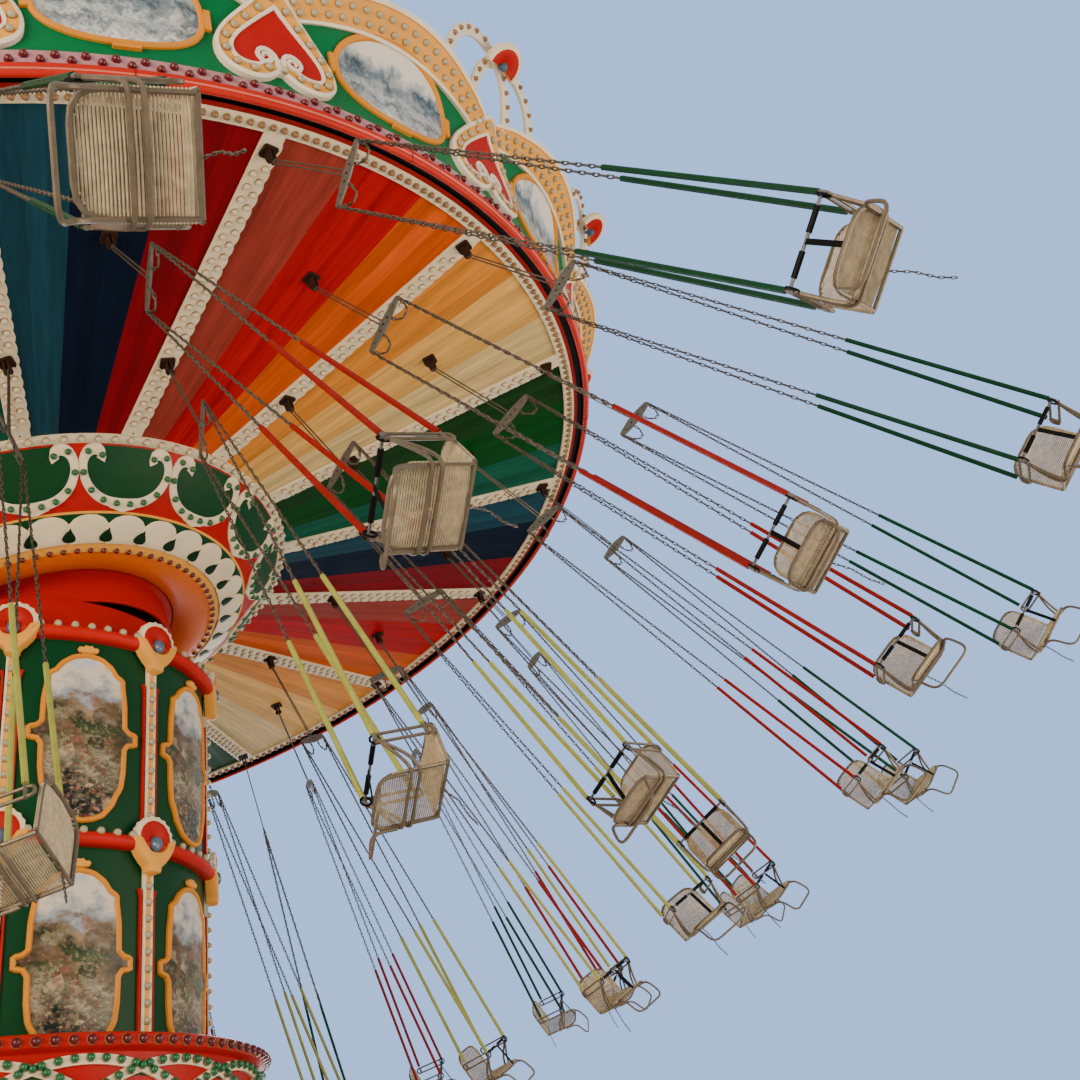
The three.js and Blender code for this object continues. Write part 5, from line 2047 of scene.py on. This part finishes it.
@dataclass(frozen=True)
class Chair:
    """Flying chair: hanger, spreader, four chains, steel frame, cane seat and back, lap bar and foot loop."""

    tube: float = 0.0115
    link_pitch: float = 0.055
    sleeve_length: float = 1.5
    strip_pitch: float = 0.0125
    drop: float = 5.237
    front_foot: tuple[float, float, float] = (0.238, -0.130, -4.955)
    rear_foot: tuple[float, float, float] = (0.238, 0.170, -4.930)
    head: tuple[float, float, float] = (0.235, 0.0, -0.985)

    def link(self) -> Mould:
        """Returns one chain link, its length along Z."""
        clear_selection()
        bpy.ops.mesh.primitive_torus_add(major_segments=5, minor_segments=3, major_radius=0.0150,
                                         minor_radius=0.0080, rotation=(math.pi / 2, 0.0, 0.0))
        piece = bpy.context.object
        with editing(piece):
            bpy.ops.transform.resize(value=(0.68, 0.95, 2.0))
        return Mould.lift(piece, Paint.LINK, 1)

    def chain(self, link: Mould, path: np.ndarray) -> Mould:
        """Threads links along a path, each turned a quarter against the last.

        Args:
            link: One link.
            path: Points of the chain's middle line.

        Returns:
            The chain.
        """
        run = np.concatenate(([0.0], np.cumsum(np.linalg.norm(np.diff(path, axis=0), axis=1))))
        count = max(2, int(run[-1] / self.link_pitch))
        at = (np.arange(count) + 0.5) * run[-1] / count
        spots = np.column_stack([np.interp(at, run, path[:, i]) for i in range(3)])
        ends = np.column_stack([np.interp(at + 0.01, run, path[:, i]) - np.interp(at - 0.01, run, path[:, i])
                                for i in range(3)])
        side = np.where((np.arange(count) % 2 == 0)[:, None], [[0.15, 1.0, 0.1]], [[1.0, -0.15, 0.1]])
        return link.copies(standing(spots, ends, 1.0, side))

    def hanger(self, link: Mould) -> Mould:
        """Returns eye, hanger rods, spreader plate and its slack loops."""
        turn = np.linspace(0.0, TAU, 13)[:-1]
        parts = [rod(np.column_stack([0.017 * np.cos(turn), np.zeros(12), 0.017 * np.sin(turn)]), 0.006,
                     Paint.STEEL, closed=True)]
        for side in (-1.0, 1.0):
            parts.append(rod([(side * 0.012, 0.0, -0.02), (side * 0.017, 0.0, -0.93)], 0.0068, Paint.LINK))
        outline = [(0.0, 0.046), (-0.09, 0.042), (-0.2, 0.029), (-0.235, 0.024), (-0.246, 0.0),
                   (-0.235, -0.024), (-0.2, -0.029), (-0.09, -0.042), (0.0, -0.046), (0.09, -0.042),
                   (0.2, -0.029), (0.235, -0.024), (0.246, 0.0), (0.235, 0.024), (0.2, 0.029), (0.09, 0.042)]
        plate = board(outline, 0.014, Paint.PLATE, bevel=0.002)
        parts.append(plate.bent(lambda p: np.column_stack([p[:, 0], -p[:, 2] - 0.007, p[:, 1] - 0.985])))
        for x in (-0.16, -0.06, 0.0, 0.06, 0.16):
            parts.append(rod([(x, -0.0078, -0.985), (x, 0.0078, -0.985)], 0.010 if abs(x) < 0.1 else 0.007,
                             Paint.BLACK, finish=3))
        parts.append(rod([(0.0, -0.012, -0.955), (0.0, 0.012, -0.955)], 0.014, Paint.STEEL))
        for side in (-1.0, 1.0):
            arc = np.linspace(0.0, math.pi, 9)
            loop = np.column_stack([side * (0.147 + 0.076 * np.cos(arc)), np.full(9, 0.004),
                                    -1.02 - 0.13 * np.sin(arc)])
            parts.append(self.chain(link, loop))
        return fused(parts)

    def chains(self, link: Mould, sleeve: Paint) -> Mould:
        """Returns the four chains with their sleeves."""
        parts = []
        for side in (-1.0, 1.0):
            for foot in (self.front_foot, self.rear_foot):
                top = np.array(self.head) * [side, 1.0, 1.0] + [0.0, 0.004 if foot[1] > 0 else -0.004, 0.0]
                end = np.array(foot) * [side, 1.0, 1.0]
                run = np.linalg.norm(end - top)
                meet = end + (top - end) * self.sleeve_length / run
                parts.append(self.chain(link, np.array([top, meet])))
                parts.append(rod([meet, end + (top - end) * 0.012 / run], 0.0175, sleeve, finish=2))
        return fused(parts)

    def frame(self) -> Mould:
        """Returns the bent tubes of seat, back, arms and foot loop, measured up from the seat."""
        parts = []
        seat = [(-0.2, 0.2, 0.016), (-0.2, -0.2, 0.010), (0.2, -0.2, 0.010), (0.2, 0.2, 0.016)]
        parts.append(rod(eased(seat, 0.11, 4), self.tube, Paint.TUBE))
        back = [(-0.205, 0.202, 0.016), (-0.205, 0.253, 0.391), (0.205, 0.253, 0.391), (0.205, 0.202, 0.016)]
        parts.append(rod(eased(back, 0.12, 4), self.tube, Paint.TUBE))
        parts.append(rod([(-0.2, 0.202, 0.016), (0.2, 0.202, 0.016)], self.tube, Paint.TUBE))
        for y in (-0.02, 0.03):
            under = [(-0.236, -0.128, 0.262), (-0.232, y - 0.03, 0.102), (-0.226, y, -0.010),
                     (0.226, y, -0.010), (0.232, y - 0.03, 0.102), (0.236, -0.128, 0.262)]
            parts.append(rod(eased(under, 0.10, 4), 0.0105, Paint.TUBE))
        for side in (-1.0, 1.0):
            arm = [(side * 0.237, -0.14, 0.292), (side * 0.237, 0.215, 0.292), (side * 0.237, 0.215, 0.230),
                   (side * 0.237, -0.14, 0.230)]
            parts.append(rod(eased(arm, 0.03, 3), 0.0095, Paint.TUBE))
            parts.append(rod([(side * 0.237, 0.17, 0.302), (side * 0.237, 0.17, 0.222)], 0.012, Paint.TUBE))
        foot = [(-0.2, -0.05, -0.007), (-0.2, -0.205, -0.007), (-0.2, -0.285, -0.205), (0.2, -0.285, -0.205),
                (0.2, -0.205, -0.007), (0.2, -0.05, -0.007)]
        parts.append(rod(eased(foot, 0.08, 4), 0.0105, Paint.TUBE))
        return fused(parts)

    def weave(self) -> Mould:
        """Returns the cane strips of seat and back, measured up from the seat."""
        strips = []
        for place in np.arange(-0.185, 0.19, self.strip_pitch):
            edge = max(0.0, -place - 0.1)
            reach = 0.2 - 0.1 * (edge / 0.09) ** 2.5 if edge > 0.0 else 0.2
            strips.append(((reach, place, 0.0105 + 0.003 * (place + 0.2)), (0.0, 0.0, 1.0)))
        tall = np.array([0.0, 0.051, 0.375])
        tall /= np.linalg.norm(tall)
        for up in np.arange(0.02, 0.37, self.strip_pitch):
            edge = max(0.0, up - 0.27)
            reach = 0.205 - 0.11 * (edge / 0.1) ** 2.5
            spot = np.array([0.0, 0.202, 0.016]) + tall * up
            strips.append(((reach, spot[1], spot[2]), (0.0, -0.99, 0.135)))
        parts = []
        for (reach, y, z), out in strips:
            normal = np.array(out)
            path = []
            for x, rise in ((-1.05, -0.004), (-1.0, 0.013), (0.0, 0.004), (1.0, 0.013), (1.05, -0.004)):
                path.append(np.array([x * reach, y, z]) + normal * rise)
            parts.append(rod(path, 0.0052, Paint.CANE, finish=4, round_off=0))
        return fused(parts)

    def lap_bar(self) -> Mould:
        """Returns the lap bar with grips, rings, clevises and strap, measured up from the seat."""
        y, z = -0.128, 0.276
        parts = [rod([(-0.236, y, z), (0.236, y, z)], 0.009, Paint.STEEL)]
        for side in (-1.0, 1.0):
            grip = [(side * x, y, z) for x in (0.045, 0.05, 0.17, 0.175)]
            parts.append(rod(grip, 0.0155, Paint.BLACK, finish=3, round_off=2))
            turn = np.linspace(0.0, TAU, 11)[:-1]
            ring = np.column_stack([np.full(10, side * 0.226), y + 0.03 * np.cos(turn),
                                    z - 0.012 + 0.034 * np.sin(turn)])
            parts.append(rod(ring, 0.007, Paint.BLACK, finish=3, closed=True))
            clevis = [(side * 0.238, y, z - 0.03), (side * 0.238, y, z + 0.04)]
            parts.append(rod(clevis, 0.013, Paint.STEEL))
        strap = ribbon([(0.0, -0.265), (0.0, -0.01)], 0.03, 0.004, Paint.BLACK, finish=3)
        parts.append(strap.bent(lambda p: np.column_stack([p[:, 0], y - 0.01 + p[:, 1] * 0.25 + p[:, 2],
                                                           z + p[:, 1]])))
        return fused(parts)

    def mould(self, sleeve: Paint) -> Mould:
        """Returns a whole chair in its own frame.

        Args:
            sleeve: Colour of its chain sleeves.

        Returns:
            The chair.
        """
        link = self.link()
        tail = np.array([(0.0, 0.21, 0.0), (0.02, 0.24, -0.1), (0.015, 0.25, -0.22), (0.03, 0.26, -0.31)])
        small = link.bent(lambda p: p * 0.55)
        seat = fused([self.frame(), self.weave(), self.lap_bar(), Chair(link_pitch=0.027).chain(small, tail)])
        return fused([self.hanger(link), self.chains(link, sleeve), seat.moved(z=-self.drop)])

    def build(self) -> None:
        """Builds and dresses all forty-eight chairs."""
        for row in ROWS:
            mould = self.mould(row.sleeve)
            for number, place in enumerate(row.places(), 1):
                name = f"{row.name}_{number:02d}"
                cast(mould, "seat_" + name, [ZINC, CHAIN, SLEEVE, RUBBER, CANE], "chair_" + name,
                     ["chair_" + name], place)


def main() -> None:
    """Builds the ride in order, from the studio to the chairs."""
    logging.basicConfig(level=logging.INFO, format="%(name)s %(message)s")
    Studio().build()
    for part in (BaseDrum(), LiftMast(), Tower(), TiltHead(), Collar(), Ceiling(), Rays(), Rim(), Crown(),
                 Roof(), Chair()):
        LOG.info("building %s", type(part).__name__)
        part.build()


if __name__ == "__main__":
    main()
